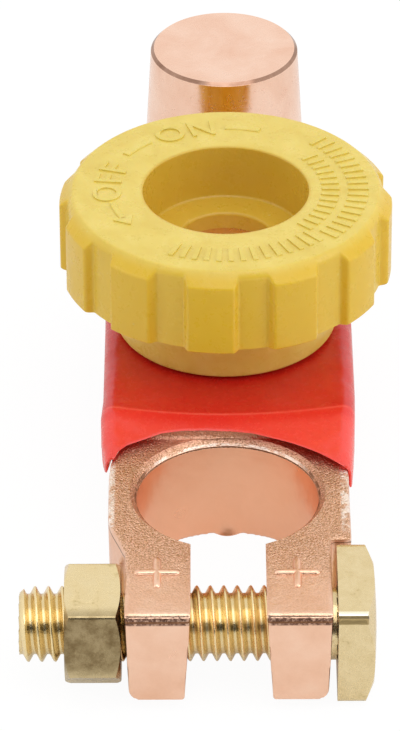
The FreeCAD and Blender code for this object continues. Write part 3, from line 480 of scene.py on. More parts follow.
def red_plastic():
    """Soft glossy plastic, a little translucent, with slow waves and rubbed patches. The top's crease is the
    curve y = 12.1 + 0.01 x^2: painted light before it, painted shade behind it, and a thin painted highlight
    on it."""
    look = Look("red_sleeve", Subsurface_Weight=0.12, Subsurface_Radius=(1.0, 0.12, 0.08),
                Subsurface_Scale=0.0012, IOR=1.5)
    slow = look.noise(7.0, detail=2.0)
    fine = look.noise(0.9, detail=4.0, rough=0.6)
    colour = look.colours(slow, [(0.3, (0.78, 0.024, 0.015)), (0.7, (0.85, 0.036, 0.024))])
    rubbed = look.between(look.noise(1.6, detail=6.0, rough=0.75), 0.55, 0.72)
    colour = look.mixed(look.product(rubbed, 0.25), colour, (0.86, 0.08, 0.06))
    across, along, up = look.axes()
    # Painted shade behind the top's crease, painted light on the slope before it, and a painted highlight
    # along it.
    crease = look.maths("ADD", look.product(across, across, 0.01), 12.1)
    past = look.maths("SUBTRACT", along, crease)
    colour = look.mixed(look.between(past, 0.0, 0.4, 0.0, 0.55), colour, (0.52, 0.014, 0.009))
    colour = look.mixed(look.between(past, -2.5, -0.6, 0.55, 0.0), colour, (0.98, 0.085, 0.06))
    line = look.between(look.maths("ABSOLUTE", look.maths("ADD", past, 0.05)), 0.0, 0.2, 0.45, 0.0)
    colour = look.mixed(look.product(line, look.between(up, 14.1, 14.3)), colour, (1.0, 0.20, 0.14))
    wear = look.maths("ADD", fine, look.product(rubbed, 0.5))
    normal = look.bump(slow, 0.5)
    normal = look.bump(look.noise(2.2, detail=2.0), 0.06, under=normal)
    normal = look.bump(fine, 0.012, under=normal)
    roughness = look.between(wear, 0.3, 1.1, 0.22, 0.42)
    return look.wire(Base_Color=colour, Roughness=roughness, Normal=normal)


def yellow_plastic():
    """Moulded satin plastic: mottled yellow, a little translucent, with small specks, painted shade inside
    the recess and deeper in colour on the bevel and the lobes."""
    look = Look("yellow_knob", Subsurface_Weight=0.15, Subsurface_Radius=(1.0, 0.6, 0.12),
                Subsurface_Scale=0.0010, IOR=1.48)
    mottle = look.noise(3.2, detail=4.0, rough=0.6, bend=0.5)
    colour = look.colours(mottle, [(0.3, (0.74, 0.55, 0.095)), (0.55, (0.79, 0.61, 0.125)),
                                   (0.8, (0.84, 0.66, 0.17))])
    far = look.from_axis(AXIS_Y)
    rim = look.between(far, 16.4, 17.8)
    inside = look.falling(far, 9.0, 9.6)
    colour = look.mixed(look.product(rim, 0.92), colour, (0.74, 0.47, 0.016))
    # Painted shade: the recess and the well are darkened to ochre.
    colour = look.mixed(look.product(inside, 0.75), colour, (0.62, 0.37, 0.016))
    specks = look.falling(look.cells(2.6), 0.03, 0.07)
    colour = look.mixed(look.product(specks, 0.3), colour, (0.84, 0.72, 0.36))
    roughness = look.between(look.noise(1.4, detail=5.0, rough=0.65), 0.3, 0.7, 0.24, 0.38)
    normal = look.bump(look.noise(0.30), 0.015)
    normal = look.bump(look.noise(4.0, detail=2.0), 0.08, under=normal)
    return look.wire(Base_Color=colour, Roughness=roughness, Normal=normal)


def dark_insulation():
    """Dark moulded phenolic with a mottled satin skin."""
    look = Look("inner_insulation", IOR=1.55)
    mottle = look.noise(1.2, detail=5.0, rough=0.65)
    colour = look.colours(mottle, [(0.3, (0.014, 0.011, 0.009)), (0.7, (0.030, 0.024, 0.019))])
    return look.wire(Base_Color=colour, Roughness=look.between(mottle, 0.3, 0.7, 0.42, 0.6),
                     Normal=look.bump(look.noise(0.25, detail=3.0), 0.012))


def spring_steel():
    """Bright spring steel with rolling lines."""
    look = Look("spring_steel", Metallic=1.0)
    lines = look.noise(0.2, detail=3.0, place=look.stretched((1.0, 0.08, 1.0)))
    colour = look.colours(lines, [(0.3, (0.46, 0.46, 0.47)), (0.7, (0.62, 0.62, 0.62))])
    return look.wire(Base_Color=colour, Roughness=look.between(lines, 0.3, 0.7, 0.24, 0.4),
                     Normal=look.bump(lines, 0.006))


looks = {
    "copper_cast": cast_copper(),
    "copper_polished": polished_copper(),
    "brass": tarnished_brass(),
    "red_sleeve": red_plastic(),
    "yellow_knob": yellow_plastic(),
    "inner_insulation": dark_insulation(),
    "spring_steel": spring_steel(),
}


# Knob

TOP, UNDERSIDE, RECESS_FLOOR, COLLAR_LOW = 31.63, 21.95, 25.43, 14.86
FLANGE_LOW, FLANGE_HIGH, SCREW_TOP = 18.1, 19.6, 23.5
WELL_RADIUS, RECESS_RADIUS, TOP_RADIUS, SIDE_RADIUS = 5.17, 9.1, 16.85, 18.35
COLLAR_RADIUS, COLLAR_BORE = 12.25, 10.3
SEAT_RADIUS, SEAT_LOW, SEAT_HIGH = 10.95, 15.06, 15.71      # groove for the retaining ring
FLANGE_RADIUS, HEAD_RADIUS, GROOVE_RADIUS = 9.7, 7.2, 6.5   # the contact screw's seat
LETTER_SIZE, LETTER_SUNK, LETTER_RAISED = 4.3, 0.25, 0.17
LOBE_RADIUS, NOTCH_DEPTH = 18.48, 1.08
FIRST_NOTCH, NOTCH_SPACING, NOTCH_HALF_WIDTH, NOTCH_FLANK = -80.5, 30, 7.6, 2.6     # degrees


def notch_limit(angles):
    """Radius allowed by the twelve finger notches: the lobes' radius less the notch depth times a step s,
    where s runs from 1 inside a notch to 0 on a lobe over a short flank."""
    half = NOTCH_SPACING / 2
    apart = np.abs((np.degrees(angles) - FIRST_NOTCH + half) % NOTCH_SPACING - half)
    return LOBE_RADIUS - NOTCH_DEPTH * smooth_step((NOTCH_HALF_WIDTH - apart) / NOTCH_FLANK)


def make_knob():
    """Closed outline (radius, height) from the well up over the top and down round the collar to the screw's
    seat, carried round the axis and held in by the notches."""
    outline = rounded([
        (WELL_RADIUS, SCREW_TOP, 0), (WELL_RADIUS, RECESS_FLOOR, 0.35), (8.75, RECESS_FLOOR, 0.35),
        (RECESS_RADIUS, TOP - 0.4, 0), (RECESS_RADIUS, TOP, 0.55), (TOP_RADIUS, TOP, 0.45),
        (SIDE_RADIUS, TOP - 1.55, 0.5), (SIDE_RADIUS, UNDERSIDE, 0.22), (12.6, UNDERSIDE, 0.4),
        (COLLAR_RADIUS, COLLAR_LOW, 0.55), (COLLAR_BORE, COLLAR_LOW, 0.2), (COLLAR_BORE, SEAT_LOW, 0),
        (SEAT_RADIUS, SEAT_LOW, 0), (SEAT_RADIUS, SEAT_HIGH, 0), (COLLAR_BORE, SEAT_HIGH, 0),
        (COLLAR_BORE, FLANGE_LOW, 0), (FLANGE_RADIUS, FLANGE_LOW, 0), (FLANGE_RADIUS, FLANGE_HIGH, 0),
        (HEAD_RADIUS, FLANGE_HIGH, 0), (HEAD_RADIUS, FLANGE_HIGH + 0.8, 0),
        (GROOVE_RADIUS, FLANGE_HIGH + 0.8, 0), (GROOVE_RADIUS, FLANGE_HIGH + 1.8, 0),
        (HEAD_RADIUS, FLANGE_HIGH + 1.8, 0), (HEAD_RADIUS, SCREW_TOP, 0)])
    middle = (outline + np.roll(outline, -1, axis=0)) / 2
    outline = divided(outline, np.where((middle[:, 1] > TOP - 1.7) & (middle[:, 0] > 16.5), 0.09, 2.2))
    angles = np.linspace(0, 2 * np.pi, 720, endpoint=False)
    points = revolved(outline, angles, (0, AXIS_Y), notch_limit, 0.45)
    mesh = raw_mesh("knob_moulding", points, grid_quads(len(outline), len(angles), close_rows=True))
    new_piece("knob_moulding", clean(mesh, sharp=50), "yellow_knob", "knob", "knob")


def ring_blocks(spans, low, high, steps=7, edge=0.10):
    """Low blocks on the knob's top between two radii and two angles: a section of six points (radius, height)
    with a chamfered top, carried along the arc. spans is an array of (inner, outer, from, to)."""
    spans = np.asarray(spans, float)
    inner, outer = spans[:, 0, None, None], spans[:, 1, None, None]
    start, end = np.radians(spans[:, 2, None, None]), np.radians(spans[:, 3, None, None])
    share = np.linspace(0, 1, steps)[:, None]
    across = np.array([0, 0, edge, -edge, 0, 0])
    outside = np.array([False, False, False, True, True, True])
    radius = np.where(outside, outer, inner) + across + 0 * share
    height = np.array([low, high - edge, high, high, high - edge, low]) + 0 * radius
    angle = start + (end - start) * share + 0 * radius
    points = np.stack([radius * np.cos(angle), AXIS_Y + radius * np.sin(angle), height], axis=-1)
    count, ring = len(spans), steps * 6
    quads = grid_quads(steps, 6)
    caps = np.array([[0, 1, 2, 5], [5, 2, 3, 4]])
    caps = np.concatenate([caps, caps[:, ::-1] + (steps - 1) * 6])
    faces = (np.concatenate([quads, caps])[None] + np.arange(count)[:, None, None] * ring).reshape(-1, 4)
    return points.reshape(-1, 3), faces


def bent_word(word, middle, radius, size, low, high):
    """Raised word bent round the knob's axis, its tops outwards: a point (x, y) of the flat word goes to the
    angle middle - x / radius and to the radius plus y."""
    curve = bpy.data.curves.new(word, "FONT")
    curve.body, curve.size, curve.align_x, curve.align_y = word, size, "CENTER", "CENTER"
    curve.extrude = (high - low) / 2
    curve.space_character = 1.12
    curve.offset = 0.045
    flat = in_scene(word, curve)
    mesh = finished_mesh(flat)
    bpy.data.objects.remove(flat)
    work = bmesh.new()
    work.from_mesh(mesh)
    bmesh.ops.remove_doubles(work, verts=work.verts, dist=1e-5)
    bmesh.ops.triangulate(work, faces=work.faces)
    work.to_mesh(mesh)
    work.free()
    across, along, up = points_of(mesh).T
    angle = math.radians(middle) - across / radius
    reach = radius + along
    points = np.stack([reach * np.cos(angle), AXIS_Y + reach * np.sin(angle), up + (low + high) / 2], axis=1)
    corners = np.zeros(len(mesh.loops), np.int32)
    mesh.loops.foreach_get("vertex_index", corners)
    return points, corners.reshape(-1, 3)


def make_lettering():
    """ON, OFF, two dashes, an arrow, and plain ticks round the front and the right of the knob's top."""
    low, high = TOP - LETTER_SUNK, TOP + LETTER_RAISED
    ticks = [(12.3, 14.9, angle - 1.1, angle + 1.1) for angle in np.arange(-114, -46, 5.2)]
    ticks += [(10.5, 12.5, angle - 1.2, angle + 1.2) for angle in np.arange(-42, 42, 6.0)]
    ticks += [(13.4, 15.7, angle - 1.0, angle + 1.0) for angle in np.arange(-40, 46, 5.0)]
    dashes = [(12.85, 13.7, 129, 146), (12.85, 13.7, 73, 90), (12.35, 13.05, 193, 209)]
    places, faces = ring_blocks(ticks + dashes, low, high)
    faces = np.concatenate([faces[:, [0, 1, 2]], faces[:, [0, 2, 3]]])
    head = np.radians([208.0, 208.0, 215.5])
    reach = np.array([11.5, 13.9, 12.7])
    tip = np.stack([reach * np.cos(head), AXIS_Y + reach * np.sin(head)], axis=1)
    wedge = np.concatenate([np.c_[tip, np.full(3, low)], np.c_[tip, np.full(3, high)]])
    wedge_faces = np.array([[0, 2, 1], [3, 4, 5], [0, 1, 4], [0, 4, 3], [1, 2, 5], [1, 5, 4], [2, 0, 3],
                            [2, 3, 5]])
    parts = [(places, faces), (wedge, wedge_faces)]
    for word, middle, radius in (("ON", 109.5, 13.15), ("OFF", 173.5, 12.9)):
        parts.append(bent_word(word, middle, radius, LETTER_SIZE, low, high))
    mesh = clean(raw_mesh("knob_lettering", *joined(parts)), merge=0.0005, sharp=30)
    new_piece("knob_lettering", mesh, "yellow_knob", "knob")


# Sleeve

SLEEVE_LOW, SLEEVE_HIGH, SLEEVE_BACK, CREASE = 4.4, 14.56, 51.0, 12.45
SIDE_WALL, TOP_WALL, FLOOR_WALL = 1.30, 0.80, 1.15
CUP_INSIDE, CUP_OUTSIDE, CUP_LOW, CUP_FLOOR, CUP_HIGH = 8.46, 9.65, 0.4, 1.58, 5.3
WINDOW_RADIUS, WELL_TOOL_RADIUS = 10.7, 8.44


def unit_outline(right, height, low_radius, high_radius, counts):
    """Closed outline (x, z) of a rounded rectangle 2 * right wide, scaled to run from -1 to 1 across and from
    0 to 1 upwards. counts gives the points along the floor, each corner, each side and the top."""
    floor, corner, side, top = counts
    runs = []
    corners = ((-90, low_radius, 1, 0), (0, high_radius, 1, 1), (90, high_radius, -1, 1),
               (180, low_radius, -1, 0))
    for turn, radius, across, up in corners:
        angle = np.radians(turn + np.linspace(0, 90, corner))
        centre = np.array([across * (right - radius), up * height + (1 - 2 * up) * radius])
        runs.append(centre + radius * np.stack([np.cos(angle), np.sin(angle)], axis=1))
    lengths = (side, top, side, floor)
    outline = []
    for index, count in enumerate(lengths):
        ahead = runs[(index + 1) % 4][0]
        share = np.linspace(0, 1, count + 2)[1:-1, None]
        outline += [runs[index], runs[index][-1] + (ahead - runs[index][-1]) * share]
    return np.concatenate(outline) / [right, height]


def sleeve_surface(outline, along, side_wall, top_wall, floor_wall):
    """Point of the sleeve for an outline place (x, z) and a distance along Y: the outline stretched between
    the left and right sides and between the floor and the top, all functions of Y. The top falls in front of
    the crease towards the front edge, whose height varies across, and sags a little behind it."""
    left = np.interp(along, [3.5, 5.6, 9.0, 13.4, 17.0, 31.0, 51.0],
                     [-12.85, -13.05, -13.5, -13.72, -13.5, -13.48, -13.6])
    right = np.interp(along, [3.0, 5.6, 8.8, 13.6, 17.8, 31.0, 51.0],
                      [13.25, 13.5, 13.72, 13.95, 14.05, 14.05, 13.9])
    across = (left + right) / 2 + outline[:, 0] * ((right - left) / 2 - side_wall)
    crease = 12.1 + 0.0115 * np.maximum(across, 0) ** 2 + 0.006 * np.minimum(across, 0) ** 2
    edge = np.interp(across, [-12, -8, -5, 0, 3, 7, 10, 12],
                     [13.45, 13.75, 13.9, 13.9, 14.15, 14.2, 13.95, 13.5])
    reach = np.maximum(crease - sleeve_top_edge(across), 1.0)
    fall = np.clip((crease - along) / reach, 0, 1.3)
    top = SLEEVE_HIGH - (SLEEVE_HIGH - edge) * (0.9 * fall + 0.1 * fall ** 2) - top_wall
    top = top - 0.07 * np.exp(-((along - crease - 3.2) / 2.6) ** 2) * (1 - (across / 15) ** 2)
    floor = SLEEVE_LOW + floor_wall
    return np.stack([across, along, floor + (top - floor) * outline[:, 1]], axis=-1)


def sleeve_top_edge(across):
    """Distance along Y of the top's front edge, a hollow arc that comes further forward on the right."""
    places = [-12.6, -12.1, -11.0, -9.9, -8.8, -7.2, -4.8, -2.4, 0.2, 2.5, 5.3, 8.2, 11.1, 12.1, 12.8]
    fronts = [5.9, 6.9, 7.9, 8.4, 8.9, 9.75, 10.1, 10.15, 9.9, 9.2, 7.9, 6.5, 4.9, 4.3, 4.0]
    return np.interp(across, places, fronts)


def sleeve_front(outline):
    """Front edge's distance along Y round the outline: the top's arc, then each side's lip, which turns back
    to the crease with a rounded corner above its lowest place, and slants backwards below."""
    across, up = outline[:, 0] * 13.4, SLEEVE_LOW + outline[:, 1] * (SLEEVE_HIGH - SLEEVE_LOW)
    edge = sleeve_top_edge(across)
    side = np.where(across > 0, 4.0, 6.3)
    lowest = np.where(across > 0, 9.7, 10.3)
    edge = edge + (side - edge) * smooth_step((13.6 - up) / 1.0)
    back = np.sqrt(1 - np.clip((lowest + 1.6 - up) / 1.6, 0, 1) ** 2)
    slant = 4.6 * np.clip((lowest - up) / 4.5, 0, 1) * smooth_step((np.abs(across) - 10.5) / 2.4)
    return CREASE - (CREASE - edge) * back + slant


def make_sleeve():
    """Tube whose outer skin is sleeve_surface from the front edge to the back, y = front + (back - front) v,
    and whose inner skin is the same with its walls taken off; the rim between them is rounded. A cup below
    the knob is added, and the knob's window and the cup's well are cut."""
    counts = (26, 9, 14, 60)
    outer_outline = unit_outline(right=14.05, height=10.16, low_radius=3.2, high_radius=1.7, counts=counts)
    inner_outline = unit_outline(right=12.75, height=8.1, low_radius=2.0, high_radius=0.6, counts=counts)
    share = np.concatenate([np.linspace(0, 0.22, 48), np.linspace(0.235, 1, 36)])[:, None]
    front = sleeve_front(outer_outline)

    def skin(outline, start, *walls):
        return sleeve_surface(outline, start + (SLEEVE_BACK - start) * share, *walls)

    outer = skin(outer_outline, front, 0, 0, 0)
    half_way = skin(outer_outline, front - 0.10, 0.16, 0.08, 0.25)[:1]
    inner = skin(inner_outline, front + 0.06, SIDE_WALL, TOP_WALL, FLOOR_WALL)
    thin = skin(inner_outline, front, 0.36, 0.16, 0.6)
    blend = np.clip(np.arange(len(share)) / 14, 0, 1)[:, None, None]
    inner = thin + (inner - thin) * blend
    points = np.concatenate([half_way, outer, inner[::-1]])
    mesh = raw_mesh("sleeve_shell", points, grid_quads(*points.shape[:2], close_rows=True))
    shell = in_scene("sleeve_shell", clean(mesh, sharp=60))

    cup = rounded([(CUP_INSIDE, 2.0, 0), (CUP_INSIDE, CUP_HIGH, 0), (CUP_OUTSIDE, CUP_HIGH, 0),
                   (CUP_OUTSIDE, CUP_LOW, 0.8), (0, CUP_LOW, 0), (0, CUP_FLOOR, 0),
                   (CUP_INSIDE, CUP_FLOOR, 0.3)])
    window = np.array([(0.0, 12.0), (WINDOW_RADIUS, 12.0), (WINDOW_RADIUS, 18.0), (0.0, 18.0)])
    well = np.array([(0.0, 1.6), (WELL_TOOL_RADIUS, 1.6), (WELL_TOOL_RADIUS, 6.5), (0.0, 6.5)])
    tools = [(cup, "UNION"), (window, "DIFFERENCE"), (well, "DIFFERENCE")]
    mesh = shaded_smooth(carved(shell, tools, 96, (0, AXIS_Y)), 50)
    new_piece("sleeve_moulding", mesh, "red_sleeve", "base", "insulating_sleeve")


# Bolt and nut

PITCH, THREAD_RADIUS, THREAD_DEPTH = 1.411, 3.97, 0.80
HEAD_INNER = 11.36      # inner face of the square head, where the shank ends


def thread_height(share):
    """Height of a thread from 0 at its root to 1 on its crest over one pitch: flat crest, straight flanks,
    flat root, all slightly rounded."""
    apart = np.abs(share % 1 - 0.5) * 2
    return smooth_step((0.80 - apart) / 0.70) * 0.35 + np.clip((0.77 - apart) / 0.66, 0, 1) * 0.65


def make_thread(name, tip, end, tip_chamfer, thread_end, body, node):
    """Threaded rod along X. Its rows follow the screw: x = s + pitch a / 2 pi, held between the tip and the
    end, and the radius is the thread's height there, cut down by the chamfered tip."""
    per_pitch, columns = 14, 96
    rows = int((end - tip) / PITCH * per_pitch) + 3 * per_pitch
    start = tip - PITCH * 1.5
    station = start + np.arange(rows) * PITCH / per_pitch
    angles = np.linspace(0, 2 * np.pi, columns, endpoint=False)
    along = station[:, None] + PITCH * angles[None] / (2 * np.pi)
    radius = THREAD_RADIUS - THREAD_DEPTH * (1 - thread_height(station[:, None] / PITCH + 0 * along))
    fade = smooth_step((along - thread_end) / 1.6)
    radius = radius + (THREAD_RADIUS - 0.1 - radius) * fade
    radius = np.minimum(radius, THREAD_RADIUS - tip_chamfer + np.clip(along - tip, 0, 9))
    radius = np.where((along < tip - 1e-9) | (along > end + 1e-9), 0, radius)
    points = about_bolt(np.clip(along, tip, end), radius, angles)
    mesh = raw_mesh(name, points, grid_quads(rows, columns, seam_rows=per_pitch))
    new_piece(name, clean(mesh, merge=0.0005, sharp=55), "brass", body, node)


def make_block(name, sides, flats, turn, inner, outer, crowns, slopes, corner, dome, bore, body, node):
    """Head or nut on the bolt's axis. The side's radius is half the flats over cos of the angle from a flat's
    middle, and the corners are arcs of their own radius; each end face falls back beyond its crown radius at
    its slope, and the outer one also by the dome times the square of the radius over the widest one."""
    angles = np.linspace(0, 2 * np.pi, 64 * sides, endpoint=False) + math.radians(turn)
    step = 2 * math.pi / sides
    flat_angle = (np.arange(len(angles)) * 2 * math.pi / len(angles) + step / 2) % step - step / 2
    centre = (flats / 2 - corner) / math.cos(step / 2)
    tangent = math.atan((1 - corner * 2 / flats) * math.tan(step / 2))
    turned = step / 2 - np.abs(flat_angle)
    arc = centre * np.cos(turned) + np.sqrt(np.maximum(corner ** 2 - (centre * np.sin(turned)) ** 2, 0))
    side = np.where(np.abs(flat_angle) > tangent, arc, flats / 2 / np.cos(flat_angle))
    widest = centre + corner

    def face(level, crown, slope, sign, swell=0.0):
        shares = np.linspace(0, 1, 6)[:, None]
        ring = list(bore + (np.minimum(crown, side) - bore) * shares)
        for share in (0.25, 0.5, 0.75, 1.0):
            ring.append(np.where(side > crown, crown + (side - crown) * share, side))
        return [(level + sign * (np.maximum(row - crown, 0) * math.tan(math.radians(slope))
                                 + swell * (row / widest) ** 2), row) for row in ring]

    rows = face(inner, crowns[0], slopes[0], 1 if outer > inner else -1)
    rows += face(outer, crowns[1], slopes[1], -1 if outer > inner else 1, dome)[::-1]
    along, radius = np.swapaxes(rows, 0, 1)
    mesh = raw_mesh(name, about_bolt(along, radius, angles), grid_quads(len(rows), len(angles), bore > 0))
    piece = new_piece(name, clean(mesh, sharp=28), "brass", body, node)
    bevel = piece.modifiers.new("worn_edges", "BEVEL")
    bevel.width, bevel.segments, bevel.limit_method = 0.14 * MM, 2, "ANGLE"
    bevel.angle_limit = math.radians(28)


# Castings

TONGUE_START = 13.4     # the clamp is split here along Y, under the sleeve
VOXEL = 0.22
EAR_BULGE, EAR_LEAN = 0.28, 0.42


def copied(node):
    """Merged copy of a CAD node's mesh, without its stored normals, so that level faces shade level."""
    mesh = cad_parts[node].data.copy()
    work = bmesh.new()
    work.from_mesh(mesh)
    bmesh.ops.remove_doubles(work, verts=work.verts, dist=0.002 * MM)
    bmesh.ops.dissolve_degenerate(work, edges=work.edges, dist=0.001 * MM)
    work.to_mesh(mesh)
    work.free()
    if "custom_normal" in mesh.attributes:
        mesh.attributes.remove(mesh.attributes["custom_normal"])
    return mesh


def part_of(mesh, along, keep_front):
    """The part of a mesh in front of, or behind, a plane across Y, closed there."""
    work = bmesh.new()
    work.from_mesh(mesh)
    geometry = list(work.verts) + list(work.edges) + list(work.faces)
    bmesh.ops.bisect_plane(work, geom=geometry, dist=1e-7, plane_co=(0, along * MM, 0), plane_no=(0, 1, 0),
                           clear_outer=keep_front, clear_inner=not keep_front)
    bmesh.ops.holes_fill(work, edges=[edge for edge in work.edges if edge.is_boundary])
    bmesh.ops.recalc_face_normals(work, faces=work.faces)
    result = bpy.data.meshes.new(mesh.name)
    work.to_mesh(result)
    work.free()
    return result


def cross_ribs(centre_x, centre_y, level, arm_x, arm_y, half_width, height):
    """Raised plus sign: two ribs of elliptic section with rounded ends. A rib's point is its middle plus its
    length times u, with width and height scaled by the root of 1 - u^8."""
    ribs = []
    u = np.linspace(-1, 1, 25)[:, None]
    angle = np.linspace(0, 2 * np.pi, 16, endpoint=False)[None]
    swell = np.sqrt(np.clip(1 - np.abs(u) ** 8, 0, 1))
    for along_x in (True, False):
        reach = arm_x if along_x else arm_y
        length = u * reach + 0 * angle
        width = half_width * swell * np.cos(angle)
        rise = height * swell * np.sin(angle)
        first, second = (length, width) if along_x else (width, length)
        points = np.stack([centre_x + first, centre_y + second, level + rise], axis=-1)
        ribs.append((points.reshape(-1, 3), grid_quads(25, 16)))
    return joined(ribs)


def move_points(mesh, change):
    """Move a mesh's points, in millimetres, by a function of the whole array."""
    points = change(points_of(mesh) / MM) * MM
    mesh.vertices.foreach_set("co", points.astype(np.float32).ravel())
    mesh.update()


def shape_casting(points):
    """Ears' front: bulges forward with height and leans back over its top millimetre, so that
    y = y - bulge b(z) + lean t(z), both only near the front. The ring's outer wall moves out, more at the top
    and on the right, and at the back of the left where the sleeve's lip meets it. The bore's lower back edge
    has the stub of a gate, a shallow lens drawn forward."""
    across, along, up = points[:, 0].copy(), points[:, 1].copy(), points[:, 2].copy()
    outer = smooth_step((np.abs(across) - 10.7) / 1.3)
    left = outer * (smooth_step((along + 10.5) / 6) * 0.052 * up
                    + 0.42 * smooth_step((along - 3.5) / 3) * smooth_step((up - 7) / 4))
    right = outer * (0.38 + 0.045 * up)
    points[:, 0] += np.where(across < 0, -left, right)
    stub = np.clip(1 - (across / 1.4) ** 2, 0, 1) * np.clip(1 - up / 1.1, 0, 1)
    points[:, 1] -= np.where((along > 8) & (along < 11.5), 0.6 * stub, 0)
    near = smooth_step((-20.6 - points[:, 1]) / 1.4)
    bulge = smooth_step((points[:, 2] - 1.4) / 8.0)
    lean = smooth_step((points[:, 2] - 11.2) / 1.7)
    points[:, 1] += near * (EAR_LEAN * lean - EAR_BULGE * bulge)
    return points


def make_clamp():
    """Clamp casting: the node's front part, melted in fine voxels and smoothed, so that edges and inner
    corners are rounded as on a casting, then bored with a turned tool that leaves a bevel and a fine groove
    at the rim. Raised plus signs stand on the ears. The hidden tongue stays a plain copy."""
    whole = copied("clamp_terminal")
    casting = in_scene("clamp_casting", part_of(whole, TONGUE_START, keep_front=True))
    melt = casting.modifiers.new("melt", "REMESH")
    melt.mode, melt.voxel_size = "VOXEL", VOXEL * MM
    soft = casting.modifiers.new("soft", "SMOOTH")
    soft.factor, soft.iterations = 0.5, 2
    outline = np.array([(0, -1.0), (10.43, -1.0), (9.72, 11.72), (9.84, 11.78), (9.84, 11.88), (9.73, 11.93),
                        (9.90, 12.18), (10.45, 12.69), (10.45, 12.74), (0, 12.74)])
    mesh = carved(casting, [(divided(outline, 1.0), "DIFFERENCE")], 256)
    move_points(mesh, shape_casting)
    new_piece("clamp_casting", shaded_smooth(mesh, 38), "copper_cast", "base", "clamp_terminal")
    sizes = {"level": 12.62, "arm_x": 2.5, "arm_y": 2.78, "half_width": 0.44, "height": 0.42}
    marks = [cross_ribs(centre_x, -14.86, **sizes) for centre_x in (-7.45, 7.2)]
    mesh = clean(raw_mesh("clamp_plus_marks", *joined(marks)), merge=0.001, sharp=60)
    new_piece("clamp_plus_marks", mesh, "copper_cast", "base")
    tongue = clean(part_of(whole, TONGUE_START, keep_front=False), sharp=30)
    new_piece("clamp_tongue", tongue, "copper_cast", "base", "clamp_terminal")


def make_post():
    """Rear post with its base and tongue: a merged copy of the node."""
    mesh = clean(copied("post_terminal"), sharp=30)
    new_piece("rear_post_casting", mesh, "copper_polished", "base", "post_terminal")


make_knob()
make_lettering()
make_sleeve()
make_thread("bolt_shank", tip=-21.9, end=HEAD_INNER, tip_chamfer=0.75, thread_end=7.0, body="bolt",
            node="clamp_bolt")
make_block("bolt_head", sides=4, flats=12.3, turn=6.5, inner=HEAD_INNER, outer=15.46, crowns=(9.5, 6.3),
           slopes=(20, 19), corner=1.25, dome=0.5, bore=0.0, body="bolt", node="clamp_bolt")
make_block("nut_hexagon", sides=6, flats=11.95, turn=48.8, inner=-11.24, outer=-17.1, crowns=(5.97, 5.97),
           slopes=(30, 30), corner=0.4, dome=0.0, bore=4.02, body="nut", node="clamp_nut")
make_clamp()
make_post()
for node, slot in (("insulating_plate", "inner_insulation"), ("insulating_bush", "inner_insulation"),
                   ("rivet_bushes", "inner_insulation"), ("tongue_rivets", "brass"),
                   ("contact_screw", "copper_polished"), ("contact_washer", "copper_polished"),
                   ("spring_washer", "spring_steel"), ("contact_retaining_ring", "spring_steel")):
    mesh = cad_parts[node].data
    mesh.materials.clear()
    mesh.materials.append(looks[slot])


# Studio

LAMP_AIM = (0, 0.02, 0.01)
CAMERA_LENS = 252.39
CAMERA_PLACE = (-2.346, -449.920, 323.703)
CAMERA_RIGHT = (0.99999088, -0.00145519, -0.00401406)
CAMERA_UP = (0.00415485, 0.54821801, 0.83632515)
CAMERA_FORWARD = (-0.00098357, 0.8363342, -0.54821906)


def make_floor():
    """Wide pale floor at the object's lowest point. The camera, glossy and clear rays see part of it as plain
    white; the rest is lit and keeps the object's shadow."""
    low = cad_box[0][2]
    mesh = bpy.data.meshes.new("floor")
    mesh.from_pydata([(-3, -3, low), (3, -3, low), (3, 3, low), (-3, 3, low)], [], [(0, 1, 2, 3)])
    in_scene("floor", mesh)
    look = Look("floor_paint", Base_Color=(0.86, 0.86, 0.86, 1), Roughness=0.9)
    seen = look.node("LightPath").outputs
    shiny = look.maths("ADD", seen["Is Glossy Ray"], seen["Is Transmission Ray"], clamp=True)
    direct = look.product(seen["Is Camera Ray"], 0.93)
    share = look.maths("ADD", direct, look.product(shiny, 0.3), clamp=True)
    plain = look.node("Emission", {"Color": (1, 1, 1, 1), "Strength": 1.02}).outputs[0]
    blend = look.node("MixShader", {0: share, 1: look.shader.outputs[0], 2: plain}).outputs[0]
    look.tree.links.new(blend, look.tree.nodes["Material Output"].inputs["Surface"])
    mesh.materials.append(look.material)


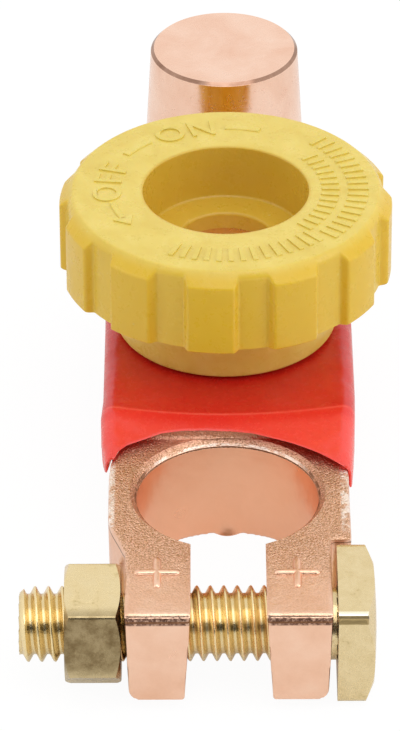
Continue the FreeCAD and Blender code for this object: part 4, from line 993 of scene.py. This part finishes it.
def make_world():
    """White surroundings for the camera and for clear surfaces. Reflections show the same white, with the
    dark patch round the camera's own stand in front, from 3 to 37 degrees up, and the light given is
    softer."""
    world = bpy.data.worlds.new("studio")
    bpy.context.scene.world = world
    world.use_nodes = True
    sky = Nodes(world.node_tree)
    seen = sky.node("LightPath").outputs
    across, along, up = sky.node("SeparateXYZ", {0: sky.node("TexCoord").outputs["Generated"]}).outputs
    frontal = sky.maths("DIVIDE", sky.product(along, -1.0), sky.length(across, along))
    ahead = sky.between(frontal, 0.45, 0.85, ease="LINEAR")
    rising = sky.between(up, -0.02, 0.05, ease="LINEAR")
    ending = sky.between(up, 0.60, 0.76, 1.0, 0.0, ease="LINEAR")
    shown = sky.between(sky.product(ahead, rising, ending), 0.0, 1.0, 1.0, 0.04, ease="LINEAR")
    given = sky.between(seen["Is Glossy Ray"], 0.0, 1.0, 0.84, 1.0, ease="LINEAR")
    clear = sky.maths("MAXIMUM", seen["Is Camera Ray"], seen["Is Transmission Ray"])
    strength = sky.maths("MAXIMUM", sky.product(shown, given), clear)
    back = sky.tree.nodes["Background"]
    sky.tree.links.new(strength, back.inputs["Strength"])
    back.inputs["Color"].default_value = (1, 1, 1, 1)


def make_lamp(name, place, size, power):
    """Soft square lamp at a place in metres, turned towards the object's middle."""
    data = bpy.data.lights.new(name, "AREA")
    data.shape, data.size, data.energy = "SQUARE", size, power
    light = in_scene(name, data)
    light.location = place
    light.rotation_euler = (Vector(LAMP_AIM) - Vector(place)).to_track_quat("-Z", "Y").to_euler()


def make_camera():
    """Camera fitted to the photograph: 0.56 m off, 33 degrees above the horizon."""
    data = bpy.data.cameras.new("camera")
    data.lens, data.sensor_width, data.clip_start, data.clip_end = CAMERA_LENS, 36, 0.01, 20
    camera = in_scene("camera", data)
    rows = zip(CAMERA_RIGHT, CAMERA_UP, CAMERA_FORWARD, CAMERA_PLACE)
    camera.matrix_world = Matrix([[right, up, -forward, place * MM] for right, up, forward, place in rows]
                                 + [[0, 0, 0, 1]])
    bpy.context.scene.camera = camera


make_floor()
make_world()
make_lamp("overhead", (0.10, -0.35, 0.75), size=0.80, power=2.4)
make_lamp("right", (0.60, -0.25, 0.30), size=0.45, power=1.1)
make_lamp("left", (-0.60, -0.20, 0.25), size=0.45, power=0.5)
make_camera()
bpy.context.scene.view_settings.view_transform = "Standard"
